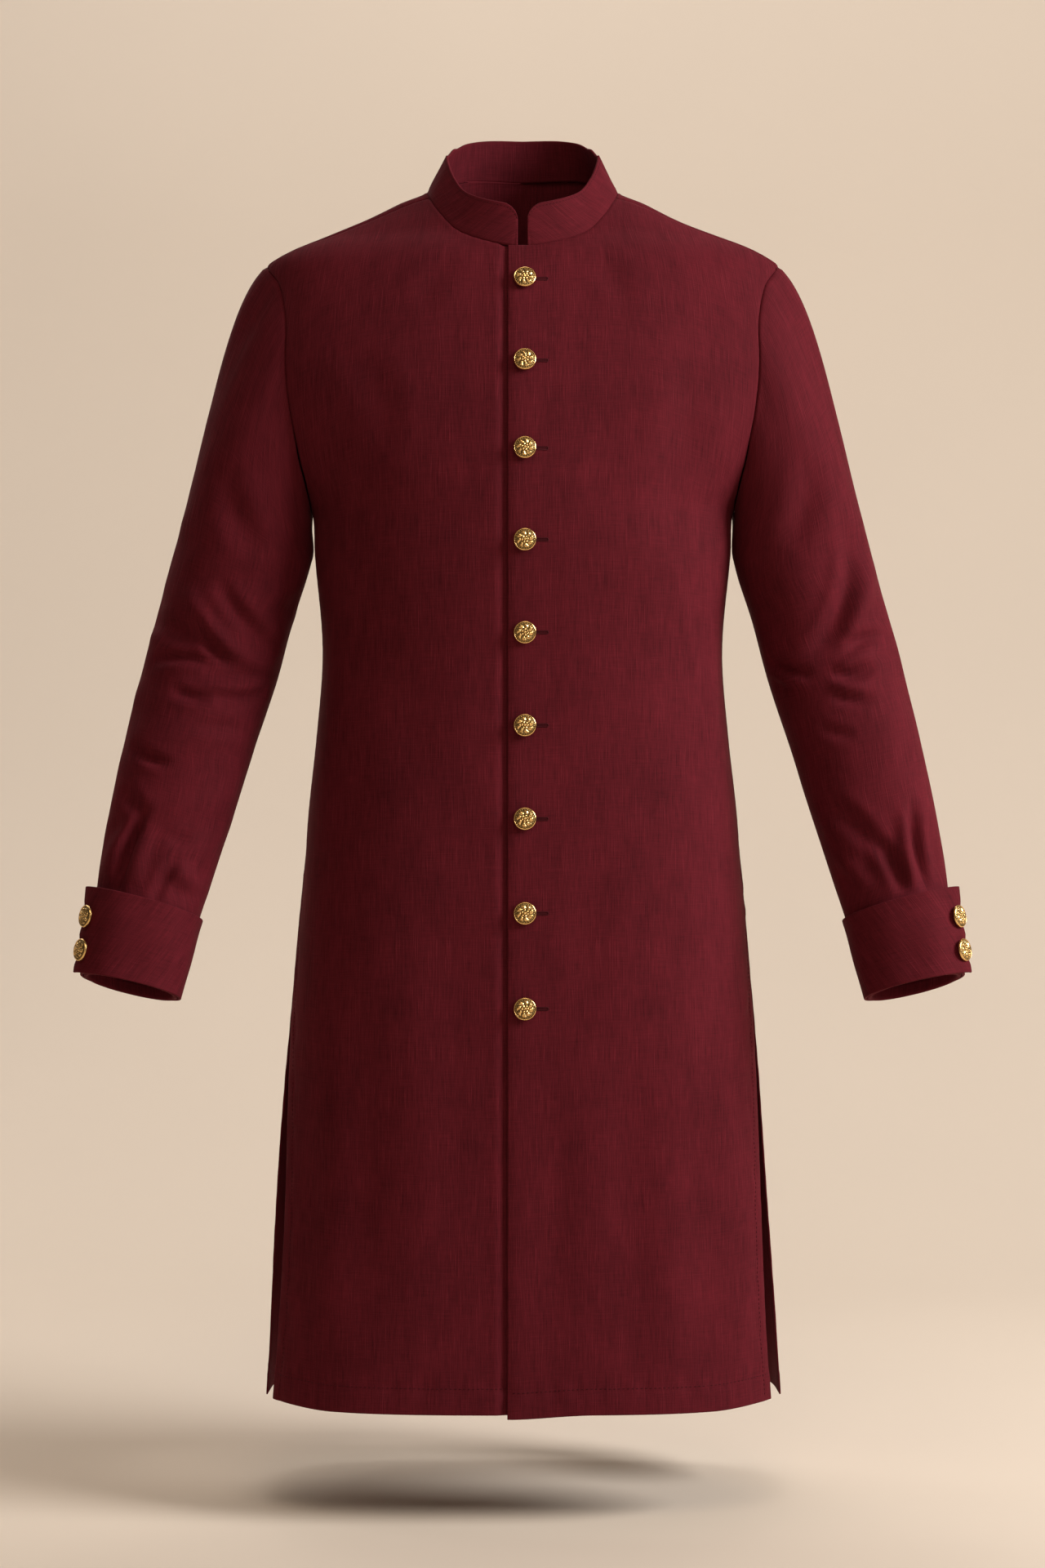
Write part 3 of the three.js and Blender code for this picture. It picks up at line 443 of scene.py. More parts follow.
def full_turn(count):
    return np.linspace(0, 2 * math.pi, count, endpoint=False)


def grid_normals(points, middles, closed):
    """Outward normals of a grid, from its own rows and columns."""
    if closed:
        around = np.roll(points, -1, 1) - np.roll(points, 1, 1)
    else:
        around = np.gradient(points, axis=1)
    normal = unit(np.cross(np.gradient(points, axis=0), around))
    facing = np.sum(normal * (points - middles[:, None, :]), -1, keepdims=True)
    return np.where(facing < 0, -normal, normal)


# ---------------------------------------------------------------- meshes


def numbered(rows, cols):
    return np.arange(rows * cols).reshape(rows, cols)


def cells(number):
    """The four corners of every cell of a grid of vertex numbers."""
    corners = number[:-1, :-1], number[:-1, 1:], number[1:, 1:], number[1:, :-1]
    return np.stack(corners, -1).reshape(-1, 4)


def is_inward(vertices, faces):
    """Whether faces look inwards, by the sign of the volume that they enclose."""
    a, b, c, d = (vertices[faces[:, i]] for i in range(4))
    return np.sum(a * np.cross(b, c)) + np.sum(a * np.cross(c, d)) < 0


def new_object(name, vertices, faces, material, uv=None):
    """Puts vertices in metres and lists of corners into a smooth mesh object."""
    mesh = bpy.data.meshes.new(name)
    mesh.from_pydata(vertices, [], faces)
    if uv is not None:
        layer = mesh.uv_layers.new(name="cloth")
        layer.data.foreach_set("uv", uv.reshape(-1).astype(np.float32))
    mesh.polygons.foreach_set("use_smooth", np.ones(len(faces), bool))
    mesh.update()
    mesh.validate()
    mesh.materials.append(material)
    obj = bpy.data.objects.new(name, mesh)
    bpy.context.scene.collection.objects.link(obj)
    return obj


def wall_mesh(name, points, normals, thickness, uv, material, closed, thin):
    """
    A closed wall: the outer grid, and the same grid moved in along its normals by the
    thickness. `thin` is a share of the thickness at each point, which rounds free edges: the
    outer side sinks and the inner side rises by half of what is left out.
    """
    rows, cols = points.shape[:2]
    spare = (1 - thin)[..., None] * thickness / 2
    sides = points - normals * spare, points - normals * (thickness - spare)
    vertices = np.concatenate([side.reshape(-1, 3) for side in sides]) / 1000
    number = wrapped(numbered(rows, cols)) if closed else numbered(rows, cols)

    def corners(number, back):
        """The outer cells, the inner ones `back` numbers further on, and the rims between."""
        outside = cells(number)
        faces = [outside, outside[:, ::-1] + back]
        rims = [number[0], number[-1, ::-1]]
        if not closed:
            rims += [number[::-1, 0], number[:, -1]]
        for a in rims:
            faces.append(np.stack([a[:-1], a[:-1] + back, a[1:] + back, a[1:]], 1))
        return np.concatenate(faces)

    faces = corners(number, rows * cols)
    uvs = corners(numbered(*number.shape), 0)
    if is_inward(vertices, faces):
        faces, uvs = faces[:, ::-1], uvs[:, ::-1]
    flat_uv = uv.reshape(-1, 2)[uvs.reshape(-1)] / 1000
    return new_object(name, vertices, faces.tolist(), material, flat_uv)


def sampled(points, row, col):
    """Points of a grid between its cells, rows and columns counted with fractions."""
    r = np.clip(np.floor(row).astype(int), 0, points.shape[0] - 2)
    c = np.clip(np.floor(col).astype(int), 0, points.shape[1] - 2)
    across = (col - c)[..., None]
    low = lerp(points[r, c], points[r, c + 1], across)
    high = lerp(points[r + 1, c], points[r + 1, c + 1], across)
    return lerp(low, high, (row - r)[..., None])


def on_cloth(points, normals, row, col):
    """The points and normals of a grid at places between its cells."""
    return sampled(points, row, col), unit(sampled(normals, row, col))


def rounded(distance):
    """The share of the thickness left near a free edge: a quarter round 0.8 mm deep."""
    t = 1 - np.clip(distance / 0.8, 0, 1)
    return 0.3 + 0.7 * np.sqrt(1 - t * t)


# ---------------------------------------------------------------- seam lines of the body


def neck_point(plan):
    depth = np.where(plan > 0, NECK_FRONT, NECK_BACK)
    return shoulder_point(NECK_WIDTH * np.cos(plan), -depth * np.sin(plan))


NECK_SEAM = math.asin(SHOULDER_SEAM / NECK_FRONT)


def armhole_point(at):
    z = along(ARMHOLE, "z", at, True)
    return form_point(angle_at_y(along(ARMHOLE, "y", at, True), z), z)


def armhole_edge(facing, t):
    if facing > 0:
        return armhole_point(t * ARMHOLE_SEAM_ROW)
    return armhole_point(ARMHOLE_ROWS - t * (ARMHOLE_ROWS - ARMHOLE_SEAM_ROW))


NECK_SHARE = 7 / 12


def upper_edge(facing, u):
    """The neck seam from the centre, then the shoulder seam out to the armhole."""
    centre = facing * math.pi / 2
    neck = neck_point(lerp(centre, NECK_SEAM, np.clip(u / NECK_SHARE, 0, 1)))
    start = neck_point(np.array(NECK_SEAM))
    tip = armhole_point(float(ARMHOLE_SEAM_ROW))
    t = np.clip((u - NECK_SHARE) / (1 - NECK_SHARE), 0, 1)
    shoulder = shoulder_point(lerp(start[0], tip[0], t), lerp(start[1], tip[1], t))
    return np.where((u <= NECK_SHARE)[:, None], neck, shoulder)


def side_angle(z, facing):
    down = np.clip((SLIT_TOP - z) / (SLIT_TOP - FRONT_HEM), 0, 1)
    seam = SIDE_SEAM_ANGLE * smooth((UNDERARM - z) / SEAM_DRIFT)
    if facing > 0:
        return lerp(seam, FRONT_SLIT_ANGLE, 1 - (1 - down) ** 2)
    return lerp(seam, 0, np.clip(BACK_SLIT_EASE * down, 0, 1))


def hem_dip(x, lap_dip):
    at_lap = lap_dip * smooth(1 - (x + LAP["left"]) / HEM_DIP["lap_reach"])
    at_slit = HEM_DIP["slit"] * smooth((x - HEM_DIP["slit_from"]) / HEM_DIP["slit_reach"])
    return at_lap - at_slit


# ---------------------------------------------------------------- body panels


def with_fine_ends(count, span, first, last):
    """Even shares from 0 to 1, with extra ones close to a free end over a span in millimetres."""
    near = np.array(EDGE_STEPS) / span
    start = near if first else np.zeros(1)
    end = near if last else np.zeros(1)
    even = np.linspace(0, 1, count + 1)
    inner = even[(even > start[-1] * 1.5) & (even < 1 - end[-1] * 1.5)]
    return np.concatenate([start, inner, 1 - end[::-1]])


def half_panel(facing, hem, lap, dip=None):
    """
    The +X half of a body panel as a grid of form angles and levels. Below the underarm its
    rows are level; above it, a blend of the four edges is pressed on the form.
    """
    centre = facing * math.pi / 2
    u = with_fine_ends(FINE["front" if lap else "back"], SPAN["panel"], False, True)
    u = u**CROWD if lap else u
    rise = with_fine_ends(FINE["lower"], UNDERARM - hem, True, False)
    low_z = lerp(hem, UNDERARM, rise)
    low_angle = lerp(centre, side_angle(low_z, facing)[:, None], u[None, :])
    v = 1 - (1 - np.linspace(0, 1, FINE["upper"] + 1)[1:]) ** CROWD
    base = form_point(lerp(centre, 0, u), UNDERARM)
    top = upper_edge(facing, u)
    arm = armhole_edge(facing, v)
    line = form_point(np.array(centre), lerp(UNDERARM, top[0, 2], v))
    tilt = v * math.pi / 2
    push = np.stack([np.zeros_like(v), -facing * np.cos(tilt), np.sin(tilt)], -1)[:, None, :]
    at_centre = line - lerp(base[0], top[0], v[:, None])
    at_arm = arm - lerp(base[-1], top[-1], v[:, None])
    blend = lerp(base[None], top[None], v[:, None, None])
    blend = blend + at_centre[:, None] * (1 - u)[None, :, None] + at_arm[:, None] * u[None, :, None]
    on_edge = (u == 1)[None, :, None] | (v == 1)[:, None, None]
    placed = np.where(on_edge, blend, pressed(blend, push))
    high_angle = place_of(placed)
    high_z = placed[..., 2]
    high_angle[:, 0] = centre
    high_z[:, 0] = line[:, 2]
    angle = np.concatenate([low_angle, high_angle])
    z = np.concatenate([np.repeat(low_z[:, None], len(u), 1), high_z])
    if lap:
        beyond = -lap + np.concatenate([EDGE_STEPS, np.linspace(4, lap, 4)[:-1]])
        level = z[:, :1]
        more = front_angle_at_x(np.broadcast_to(beyond, (len(z), len(beyond))), level)
        angle = np.concatenate([more, angle], 1)
        z = np.concatenate([np.repeat(level, len(beyond), 1), z], 1)
    if dip is not None:
        low = np.clip((SLIT_TOP - z) / (SLIT_TOP - hem), 0, 1) ** HEM_DIP["fade"]
        z = z - low * dip(form_point(angle, z)[..., 0])
    return angle, z


def draw_back(points, *sides):
    """Draws sides of a grid back from their seams by half the seam's space."""
    lines = {
        "bottom": (np.s_[0], np.s_[1]),
        "top": (np.s_[-1], np.s_[-2]),
        "first": (np.s_[:, 0], np.s_[:, 1]),
        "last": (np.s_[:, -1], np.s_[:, -2]),
    }
    for side in sides:
        first, second = lines[side]
        points[first] += unit(points[second] - points[first]) * SEAM / 2


def seam_relief(distance, along_seam, seed):
    """
    The cloth beside a seam: rolled in at the seam by exp(-(d / 1.6)^2), a low ridge 4 mm off,
    and small puckers cos(2 pi s / pitch) that fade over 7 mm.
    """
    pucker = np.cos(along_seam / 1.75 + 2 * ripple(along_seam, along_seam * 0, seed, 60))
    rolled = 0.22 * bell(distance, 4.5, 3) - 0.7 * bell(distance, 0, 1.6)
    return rolled + 0.12 * pucker * np.exp(-distance / 6)


def turned_edge(distance, turn, along_edge, seed):
    """A turned-in edge: 0.45 mm fuller up to its stitching, which bites 0.4 mm in."""
    bite = 0.4 + 0.12 * np.cos(along_edge / 0.6)
    uneven = 0.5 * ripple(along_edge, distance, seed, 26) * bell(distance, turn, 8)
    fuller = 0.45 * smooth((turn + 1.5 - distance) / 2.5)
    return fuller - bite * bell(distance, turn, 1.1) + uneven


def panel_relief(points, from_side, along_top, mirror, lines, seed, calm=1.0, calm_top=1.0):
    """A panel's folds, creases, turned edges and seams as a height, and its edges' shares."""
    folds, creases = lines
    x, level = points[..., 0], points[..., 2]
    from_hem = lengths(points, 0)
    free = smooth((SLIT_TOP - level) / 6)
    relief = -line_depth(folds, x * mirror, level)
    relief -= line_depth(creases, x * mirror, level) * calm * CREASE_DEPTH["panel"]
    relief += turned_edge(from_hem, HEM_TURN, x, seed)
    relief += free * turned_edge(from_side, SLIT_TURN, level, seed + 1)
    relief += (1 - free) * seam_relief(from_side, level, seed + 2)
    relief += seam_relief(from_hem[-1:] - from_hem, along_top, seed + 3) * calm_top
    thin = rounded(from_hem) * np.where(level < SLIT_TOP, rounded(from_side), 1)
    return relief, thin


def panel_uv(points, centre_col):
    """Cloth coordinates: across from the centre line, and up, each as length along the cloth."""
    across = lengths(points * [1, 1, 0], 1)
    across = across - across[:, centre_col:centre_col + 1]
    return np.stack([across, lengths(points * [0, 1, 1], 0)], -1)


def below_neck(z):
    return smooth((neck_point(np.array(math.pi / 2))[2] - z) / LAP["fade"])


def front_grid(side):
    """One front: outer points, normals, cloth coordinates and edge shares, made on +X."""
    is_left = side == "left"
    lap = LAP[side]
    lap_dip = HEM_DIP["lap"] if is_left else 0.0
    angle, z = half_panel(1, FRONT_HEM, lap, lambda x: hem_dip(x, lap_dip))
    points, normals = form_point(angle, z), form_normal(angle, z)
    x, level = points[..., 0], points[..., 2]
    low = below_neck(level)
    from_edge = lengths(points, 1)
    if is_left:
        seed, mirror = 11, 1
        lift = LAP["lift"] * smooth(1 - (x + lap) / LAP["reach"]) * low
        lift -= LAP["roll"] * bell(from_edge, 0, LAP["roll_reach"]) * low
        calm = smooth(from_edge / 60)
    else:
        seed, mirror = 23, -1
        under = smooth((LAP["left"] + LAP["step"] - x) / LAP["step"])
        lift = -lerp(LAP["sink_at_neck"], LAP["sink"], low) * under
        calm = smooth((from_edge - 20) / 60)
    lift += 0.5 * ripple(x, level * RIPPLE_TALL, seed, RIPPLE_SIZE) * calm
    relief, thin = panel_relief(
        points, from_edge[:, -1:] - from_edge, from_edge, mirror, (FRONT_FOLDS, FRONT_CREASES),
        seed, calm, smooth(from_edge / 40),
    )
    points = points + normals * (lift + relief)[..., None]
    uv = panel_uv(points, int(np.argmin(np.abs(angle[0] - math.pi / 2))))
    draw_back(points, "top", "last")
    return points, normals, uv, thin * rounded(from_edge)


def back_grid():
    """The back, both halves in one grid from -X to +X."""
    angle, z = half_panel(-1, BACK_HEM, 0)

    def both(half):
        return np.concatenate([(half * MIRROR)[:, :0:-1], half], 1)

    points, normals = both(form_point(angle, z)), both(form_normal(angle, z))
    from_first = lengths(points, 1)
    from_side = np.minimum(from_first, from_first[:, -1:] - from_first)
    relief, thin = panel_relief(points, from_side, from_first, 1, (BACK_FOLDS, BACK_CREASES), 38)
    relief += 0.6 * ripple(points[..., 0], points[..., 2] * RIPPLE_TALL, 37, RIPPLE_SIZE)
    points = points + normals * relief[..., None]
    uv = panel_uv(points, angle.shape[1] - 1)
    draw_back(points, "first", "last", "top")
    return points, normals, uv, thin


# ---------------------------------------------------------------- sleeves and cuffs


def ring_at(columns, at):
    """Rings of a limb: their middles, half width vectors, half depths and drops."""
    at = np.asarray(at, float)
    value = {name: along(columns, name, at) for name in columns}
    out = np.stack([value["out_x"], value["y"], value["out_z"]], -1)
    inner = np.stack([value["in_x"], value["y"], value["in_z"]], -1)
    return (out + inner) / 2, (out - inner) / 2, value["half"], value["drop"]


def ring_point(ring, angle, square, grow=0.0):
    """Points of rings: angle 0 is the outer edge, a quarter turn the front."""
    middle, across, half, drop = ring
    c = np.cos(angle)
    s = np.sin(angle)
    r = round_reach(c, s, square)
    width = np.linalg.norm(across, axis=-1)
    wide = (c * r * (width + grow) / width)[..., None] * across
    deep = -s * r * (half + grow)
    return middle + wide + np.stack([deep * 0, deep, s * r * drop], -1)


def armhole_loop():
    """The armhole seam from the underarm up the front and down the back, and its fineness."""
    t = 1 - (1 - np.linspace(0, 1, FINE["loop"] + 1)) ** CROWD
    front = armhole_edge(1, t)
    back = armhole_edge(-1, t)[::-1]
    return np.concatenate([front, back[1:-1]])


def sleeve_form(seam, facing):
    """
    A sleeve's plain form and its rings' middles. Its cap's columns are cubics that leave the
    armhole's seam outwards, and its arm follows the ring table.
    """
    tip = armhole_point(float(ARMHOLE_TIP_ROW))
    middle, across = (tip + seam[0]) / 2, (tip - seam[0]) / 2
    away = seam - middle
    angles = np.arctan2(-away[:, 1] / ARMHOLE["y"].max(), away @ across / (across @ across))
    first = ring_at(SLEEVE, np.zeros(1))
    end = ring_point(first, angles, SLEEVE_SQUARE)
    onward = ring_point(ring_at(SLEEVE, np.full(1, 0.1)), angles, SLEEVE_SQUARE) - end
    lean = CAP_LEAN + CAP_SHOULDER * np.maximum(facing[:, 2:], 0)
    span = np.linalg.norm(end - seam, axis=-1, keepdims=True)
    leave = unit(np.array(CAP_ARM) + facing * lean) * CAP_START * span
    t = np.linspace(0, 1, FINE["cap"] + 1)[:-1][:, None, None]
    cap = hermite(seam[None], end[None], leave[None], (unit(onward) * span)[None], t)
    at = with_fine_ends(FINE["arm"], SPAN["arm"], False, True) * (len(SLEEVE["y"]) - 1)
    rings = ring_at(SLEEVE, at[:, None])
    points = np.concatenate([cap, ring_point(rings, angles[None, :], SLEEVE_SQUARE)])
    return points, np.concatenate([lerp(middle, first[0][0], t[:, 0]), rings[0][:, 0]])


def sleeve_relief(side, points, ahead):
    """
    A sleeve's folds, creases and seam as a height. Each side's own lines press in where the
    cloth faces that way, and the front's are laid out as the eye sees them.
    """
    x, z = points[..., 0], points[..., 2]
    near = EYE_AWAY / (EYE_AWAY + points[..., 1])
    seen_z = EYE_LEVEL + (z - EYE_LEVEL) * near
    crease = line_depth(SLEEVE_CREASES[side], x * near, seen_z) * smooth(ahead / CREASE_SIDE)
    crease += line_depth(SLEEVE_BACK_CREASES[side], x, z) * smooth(-ahead / CREASE_SIDE)
    lift = -line_depth(SLEEVE_FOLDS[side], x, z) * smooth(ahead / FOLD_SIDE)
    lift -= crease * CREASE_DEPTH["sleeve"]
    seed = 51 if side == "left" else 67
    soft = ripple(ahead * 1.2, z * 1.5, seed, 62) * smooth(np.abs(ahead) / CREASE_SIDE)
    lift += (0.4 + 0.7 * (bell(z, *ELBOW) + 0.5 * bell(z, *WRIST))) * soft
    down = lengths(points, 0)
    around = np.broadcast_to(np.arange(points.shape[1]) * 8.0, x.shape)
    return lift * smooth(down / 14) + seam_relief(down, around, seed + 1)


def sleeve_grid(side):
    """A sleeve made on +X; its first row's normals turn to the body's."""
    seam = armhole_loop()
    facing = form_normal(place_of(seam), seam[:, 2])
    points, middles = sleeve_form(seam, facing)
    normals = grid_normals(points, middles, True)
    relief = sleeve_relief(side, points, middles[:, None, 1] - points[..., 1])
    points = points + normals * relief[..., None]
    blend = smooth(np.sum(normals[0] * facing, -1) * 2)[:, None]
    normals[0] = unit(lerp(normals[0], facing, blend))
    girth = lengths(wrapped(points), 1)
    up = np.broadcast_to(-lengths(middles, 0)[:, None], girth.shape)
    uv = np.stack([girth - girth[:, -1:] / 2, up], -1)
    down = lengths(points, 0)
    thin = rounded(down[-1:] - down)
    draw_back(points, "bottom")
    return points, normals, uv, thin


def cuff_stand(turn, height):
    """How far a cuff's strip stands out from its ring: over its own start, then at its edge."""
    over = smooth((CUFF_TURN["lap_start"] - turn) / (CUFF_TURN["lap_start"] - CUFF_TURN["lap_full"]))
    end = smooth((CUFF_TURN["lap_full"] - turn) / (CUFF_TURN["lap_full"] - CUFF_TURN["end"]))
    near = np.minimum(*(np.abs(height - h) / CUFF_LAP["holds"] for h in CUFF_BUTTON_HEIGHTS))
    stand = lerp(CUFF_LAP["held"], CUFF_LAP["stand"], smooth(near))
    return CUFF_LAP["clear"] * over + (stand - CUFF_LAP["clear"]) * end


def cuff_grid():
    """A cuff made on +X, from its start under the lap to its free edge."""
    height = with_fine_ends(FINE["cuff_up"], SPAN["cuff_up"], True, True)[:, None]
    around = with_fine_ends(FINE["cuff_round"], SPAN["cuff_round"], True, True)
    turn = lerp(CUFF_TURN["start"], CUFF_TURN["end"], around)[None, :]
    rings = ring_at(CUFF, height)
    points = ring_point(rings, turn, SLEEVE_SQUARE, cuff_stand(turn, height))
    normals = grid_normals(points, rings[0][:, 0], False)
    from_low = lengths(points, 0)
    from_first = lengths(points, 1)
    from_high = from_low[-1:] - from_low
    from_last = from_first[:, -1:] - from_first
    inside = smooth(from_low / 12) * smooth(from_high / 12)
    lift = 0.5 * ripple(from_first, from_low, 71, 70) * inside
    points = points + normals * lift[..., None]
    thin = rounded(from_low) * rounded(from_high) * rounded(from_last) * rounded(from_first)
    return points, normals, np.stack([from_first, from_low], -1), thin


def cuff_turn_grid():
    """The fold under a cuff's lower edge: a U round the sleeve's end, swept round its ring."""
    profile = table("grow rise", [
        (-3.0, 2.6), (-3.1, 1.4), (-3.5, 0.4), (-4.3, -0.2), (-5.2, -0.4), (-6.2, -0.1),
        (-7.0, 0.8), (-7.4, 2.2), (-7.6, 5), (-7.8, 9), (-7.9, 14),
    ])
    turn = full_turn(FINE["turn"])[None, :]
    rings = ring_at(CUFF, np.zeros((len(profile["rise"]), 1)))
    middle = rings[0]
    upper = ring_at(CUFF, np.ones(1))[0][0]
    rise = unit(upper - middle[0, 0]) * profile["rise"][:, None]
    points = ring_point(rings, turn, SLEEVE_SQUARE, profile["grow"][:, None]) + rise[:, None, :]
    around = np.roll(points, -1, 1) - np.roll(points, 1, 1)
    normals = unit(np.cross(np.gradient(points, axis=0), around))
    normals = normals * np.sign(np.sum(normals[0, 0] * (points[0, 0] - middle[0, 0])))
    uv = np.stack([lengths(wrapped(points), 1), wrapped(lengths(points, 0))], -1)
    return points, normals, uv, np.ones(points.shape[:2])


# ---------------------------------------------------------------- collar


def collar_grid():
    """
    The collar band along the neck seam. Each column rises from its foot and leans inwards;
    its two front ends are rounded by a quarter circle.
    """
    gap, radius = COLLAR["half_gap"], COLLAR["round"]
    x_end = gap + np.concatenate([EDGE_STEPS, np.linspace(3, 17, 12)])
    corner = np.arccos(x_end / NECK_WIDTH)
    rest = np.linspace(corner[-1], -math.pi / 2, FINE["collar_round"] + 1)[1:]
    own = np.concatenate([corner, rest])
    foot = neck_point(own)
    depth = np.where(own > 0, NECK_FRONT, NECK_BACK)
    flat = np.zeros_like(own)
    out = unit(np.stack([np.cos(own) / NECK_WIDTH, -np.sin(own) / depth, flat], -1))
    end_lean = np.where(own > 0, COLLAR["lean_front"], COLLAR["lean_back"])
    lean = np.radians(lerp(end_lean, COLLAR["lean_side"], np.cos(own) ** 2))[:, None]
    rise = -out * np.sin(lean) + UP * np.cos(lean)
    normal = out * np.cos(lean) + UP * np.sin(lean)
    short = np.clip(radius - (foot[:, 0] - gap), 0, radius) * (foot[:, 1] < 0)
    height = COLLAR["height"] - (radius - np.sqrt(np.maximum(radius**2 - short**2, 0)))
    for y, reach, more in zip(*COLLAR_TRIM.values()):
        height = height + more * bell(foot[:, 1], y, reach)

    def both(values, mirror=MIRROR):
        return np.concatenate([values, (values * mirror)[-2::-1]])

    foot, rise, normal, height = both(foot), both(rise), both(normal), both(height, 1.0)
    share = with_fine_ends(FINE["collar_up"], SPAN["collar_up"], False, True)
    along_rise = lerp(COLLAR["foot"], height[None, :], share[:, None])
    points = foot[None] + rise[None] * along_rise[..., None] + normal[None] * COLLAR["proud"]
    normals = np.broadcast_to(normal, points.shape).copy()
    from_first = lengths(points, 1)
    from_end = np.minimum(from_first, from_first[:, -1:] - from_first)
    from_top = height[None, :] - along_rise
    from_edge = np.minimum(from_top, from_end)
    lift = -0.3 * bell(from_edge, COLLAR_STITCH, 0.9) - 0.5 * bell(along_rise, 0, 1.5)
    lift += 0.25 * ripple(from_first, along_rise, 83, 60) * smooth(along_rise / 12)
    points = points + normals * lift[..., None]
    thin = rounded(from_top) * rounded(from_end)
    mid = from_first[:, -1:] / 2
    return points, normals, np.stack([from_first - mid, along_rise], -1), thin


# ---------------------------------------------------------------- materials


class Value:
    """A node's output on which sums can be written."""

    def __init__(self, shade, socket):
        self.shade = shade
        self.socket = socket

    def math(self, operation, *values):
        return self.shade.node("ShaderNodeMath", {"operation": operation}, dict(enumerate(values)))

    def __add__(self, other):
        return self.math("ADD", self, other)

    def __sub__(self, other):
        return self.math("SUBTRACT", self, other)

    def __rsub__(self, other):
        return self.math("SUBTRACT", other, self)

    def __mul__(self, other):
        return self.math("MULTIPLY", self, other)

    __radd__ = __add__
    __rmul__ = __mul__

    def step(self, low, high):
        """0 below low and 1 above high, smooth between."""
        values = {0: self, 1: low, 2: high, 3: 0.0, 4: 1.0}
        return self.shade.node("ShaderNodeMapRange", {"interpolation_type": "SMOOTHSTEP"}, values)


class Shade:
    """Adds nodes to one new material."""

    def __init__(self, name):
        self.material = bpy.data.materials.new(name)
        self.material.use_nodes = True
        self.tree = self.material.node_tree
        self.shader = self.tree.nodes["Principled BSDF"]

    def node(self, kind, settings=None, values=None, output=0):
        node = self.tree.nodes.new(kind)
        for name, value in (settings or {}).items():
            setattr(node, name, value)
        for socket, value in (values or {}).items():
            self.put(node.inputs[socket], value)
        return Value(self, node.outputs[output])

    def put(self, socket, value):
        if isinstance(value, Value):
            self.tree.links.new(value.socket, socket)
        else:
            socket.default_value = value

    def set(self, **values):
        for name, value in values.items():
            self.put(self.shader.inputs[name.replace("_", " ")], value)

    def clear_from_behind(self):
        """Lets the eye through the surface's back, so that a backdrop hides nothing."""
        behind = self.node("ShaderNodeNewGeometry", output=6)
        solid = Value(self, self.shader.outputs[0])
        clear = self.node("ShaderNodeBsdfTransparent")
        both = self.node("ShaderNodeMixShader", None, {0: behind, 1: solid, 2: clear})
        self.tree.links.new(both.socket, self.tree.nodes["Material Output"].inputs["Surface"])

    def mix(self, factor, a, b):
        return self.node("ShaderNodeMix", {"data_type": "RGBA"}, {0: factor, 6: a, 7: b}, output=2)

    def place(self):
        """The place on the object, in metres."""
        return self.node("ShaderNodeTexCoord", output=3)

    def noise(self, vector, scale, detail=2.0, rough=0.5):
        values = {"Vector": vector, "Scale": scale, "Detail": detail, "Roughness": rough}
        return self.node("ShaderNodeTexNoise", None, values)

    def streaks(self, vector, size, detail=1.0, rough=0.5):
        """Noise with its own fineness across and along the cloth."""
        values = {0: vector, 1: (*size, 1)}
        stretched = self.node("ShaderNodeVectorMath", {"operation": "MULTIPLY"}, values)
        return self.noise(stretched, 1.0, detail, rough)

    def bump(self, height, strength, distance=0.0002):
        values = {"Strength": strength, "Distance": distance, "Height": height}
        return self.node("ShaderNodeBump", None, values)


def colour(rgb, share=1.0):
    return (rgb[0] * share, rgb[1] * share, rgb[2] * share, 1.0)


def cloth_material(shade, sizes):
    """
    Slubbed plain weave. Two sets of noise, each stretched along one thread direction, are the
    threads; a third and fourth, sparser, are the slubs. A broad noise varies the dye.
    """
    place = shade.node("ShaderNodeUVMap", {"uv_map": "cloth"})
    fine = 1000 / sizes.thread_pitch
    warp = shade.streaks(place, (fine, fine / 22), 2.0, 0.6)
    weft = shade.streaks(place, (fine / 22, fine), 2.0, 0.6)
    slub_up = shade.streaks(place, (760, 24))
    slub_across = shade.streaks(place, (22, 760))
    slubs = slub_up.step(0.56, 0.74) + slub_across.step(0.6, 0.76) * 0.4
    thin = slub_up.step(0.44, 0.3) + slub_across.step(0.4, 0.28) * 0.4
    dye = shade.noise(place, 14.0, 3.0, 0.6) - 0.5
    cloudy = shade.streaks(place, (60, 16), 3.0, 0.6) - 0.5
    threads = warp * 0.62 + weft * 0.38
    spread = threads - 0.5
    tone = spread * 1.9 + slubs * 0.19 - thin * 0.17 + dye * 0.7 + cloudy * 0.6 + 0.5
    base = shade.mix(tone, colour(sizes.cloth_colour, 0.6), colour(sizes.cloth_colour, 1.5))
    bump = shade.bump(threads * 0.6 + slubs * 0.35 + cloudy * 0.2, sizes.weave_relief, 0.0006)
    shade.set(Base_Color=base, Roughness=0.82 + spread * 0.3 - slubs * 0.05, Normal=bump)
    shade.set(Metallic=0.0, IOR=1.45, Specular_IOR_Level=0.07)
    shade.set(Sheen_Weight=sizes.sheen, Sheen_Roughness=0.5, Sheen_Tint=(1.0, 0.16, 0.2, 1.0))


def thread_material(shade, sizes):
    """Sewing thread: the cloth's colour, a little darker, with a fine twist across it."""
    twist = shade.noise(shade.place(), 2600.0)
    base = shade.mix(twist, colour(sizes.cloth_colour, 0.3), colour(sizes.cloth_colour, 0.8))
    bump = shade.bump(twist, 0.5)
    shade.set(Base_Color=base, Roughness=0.6 + twist * 0.25, Normal=bump, Specular_IOR_Level=0.1)


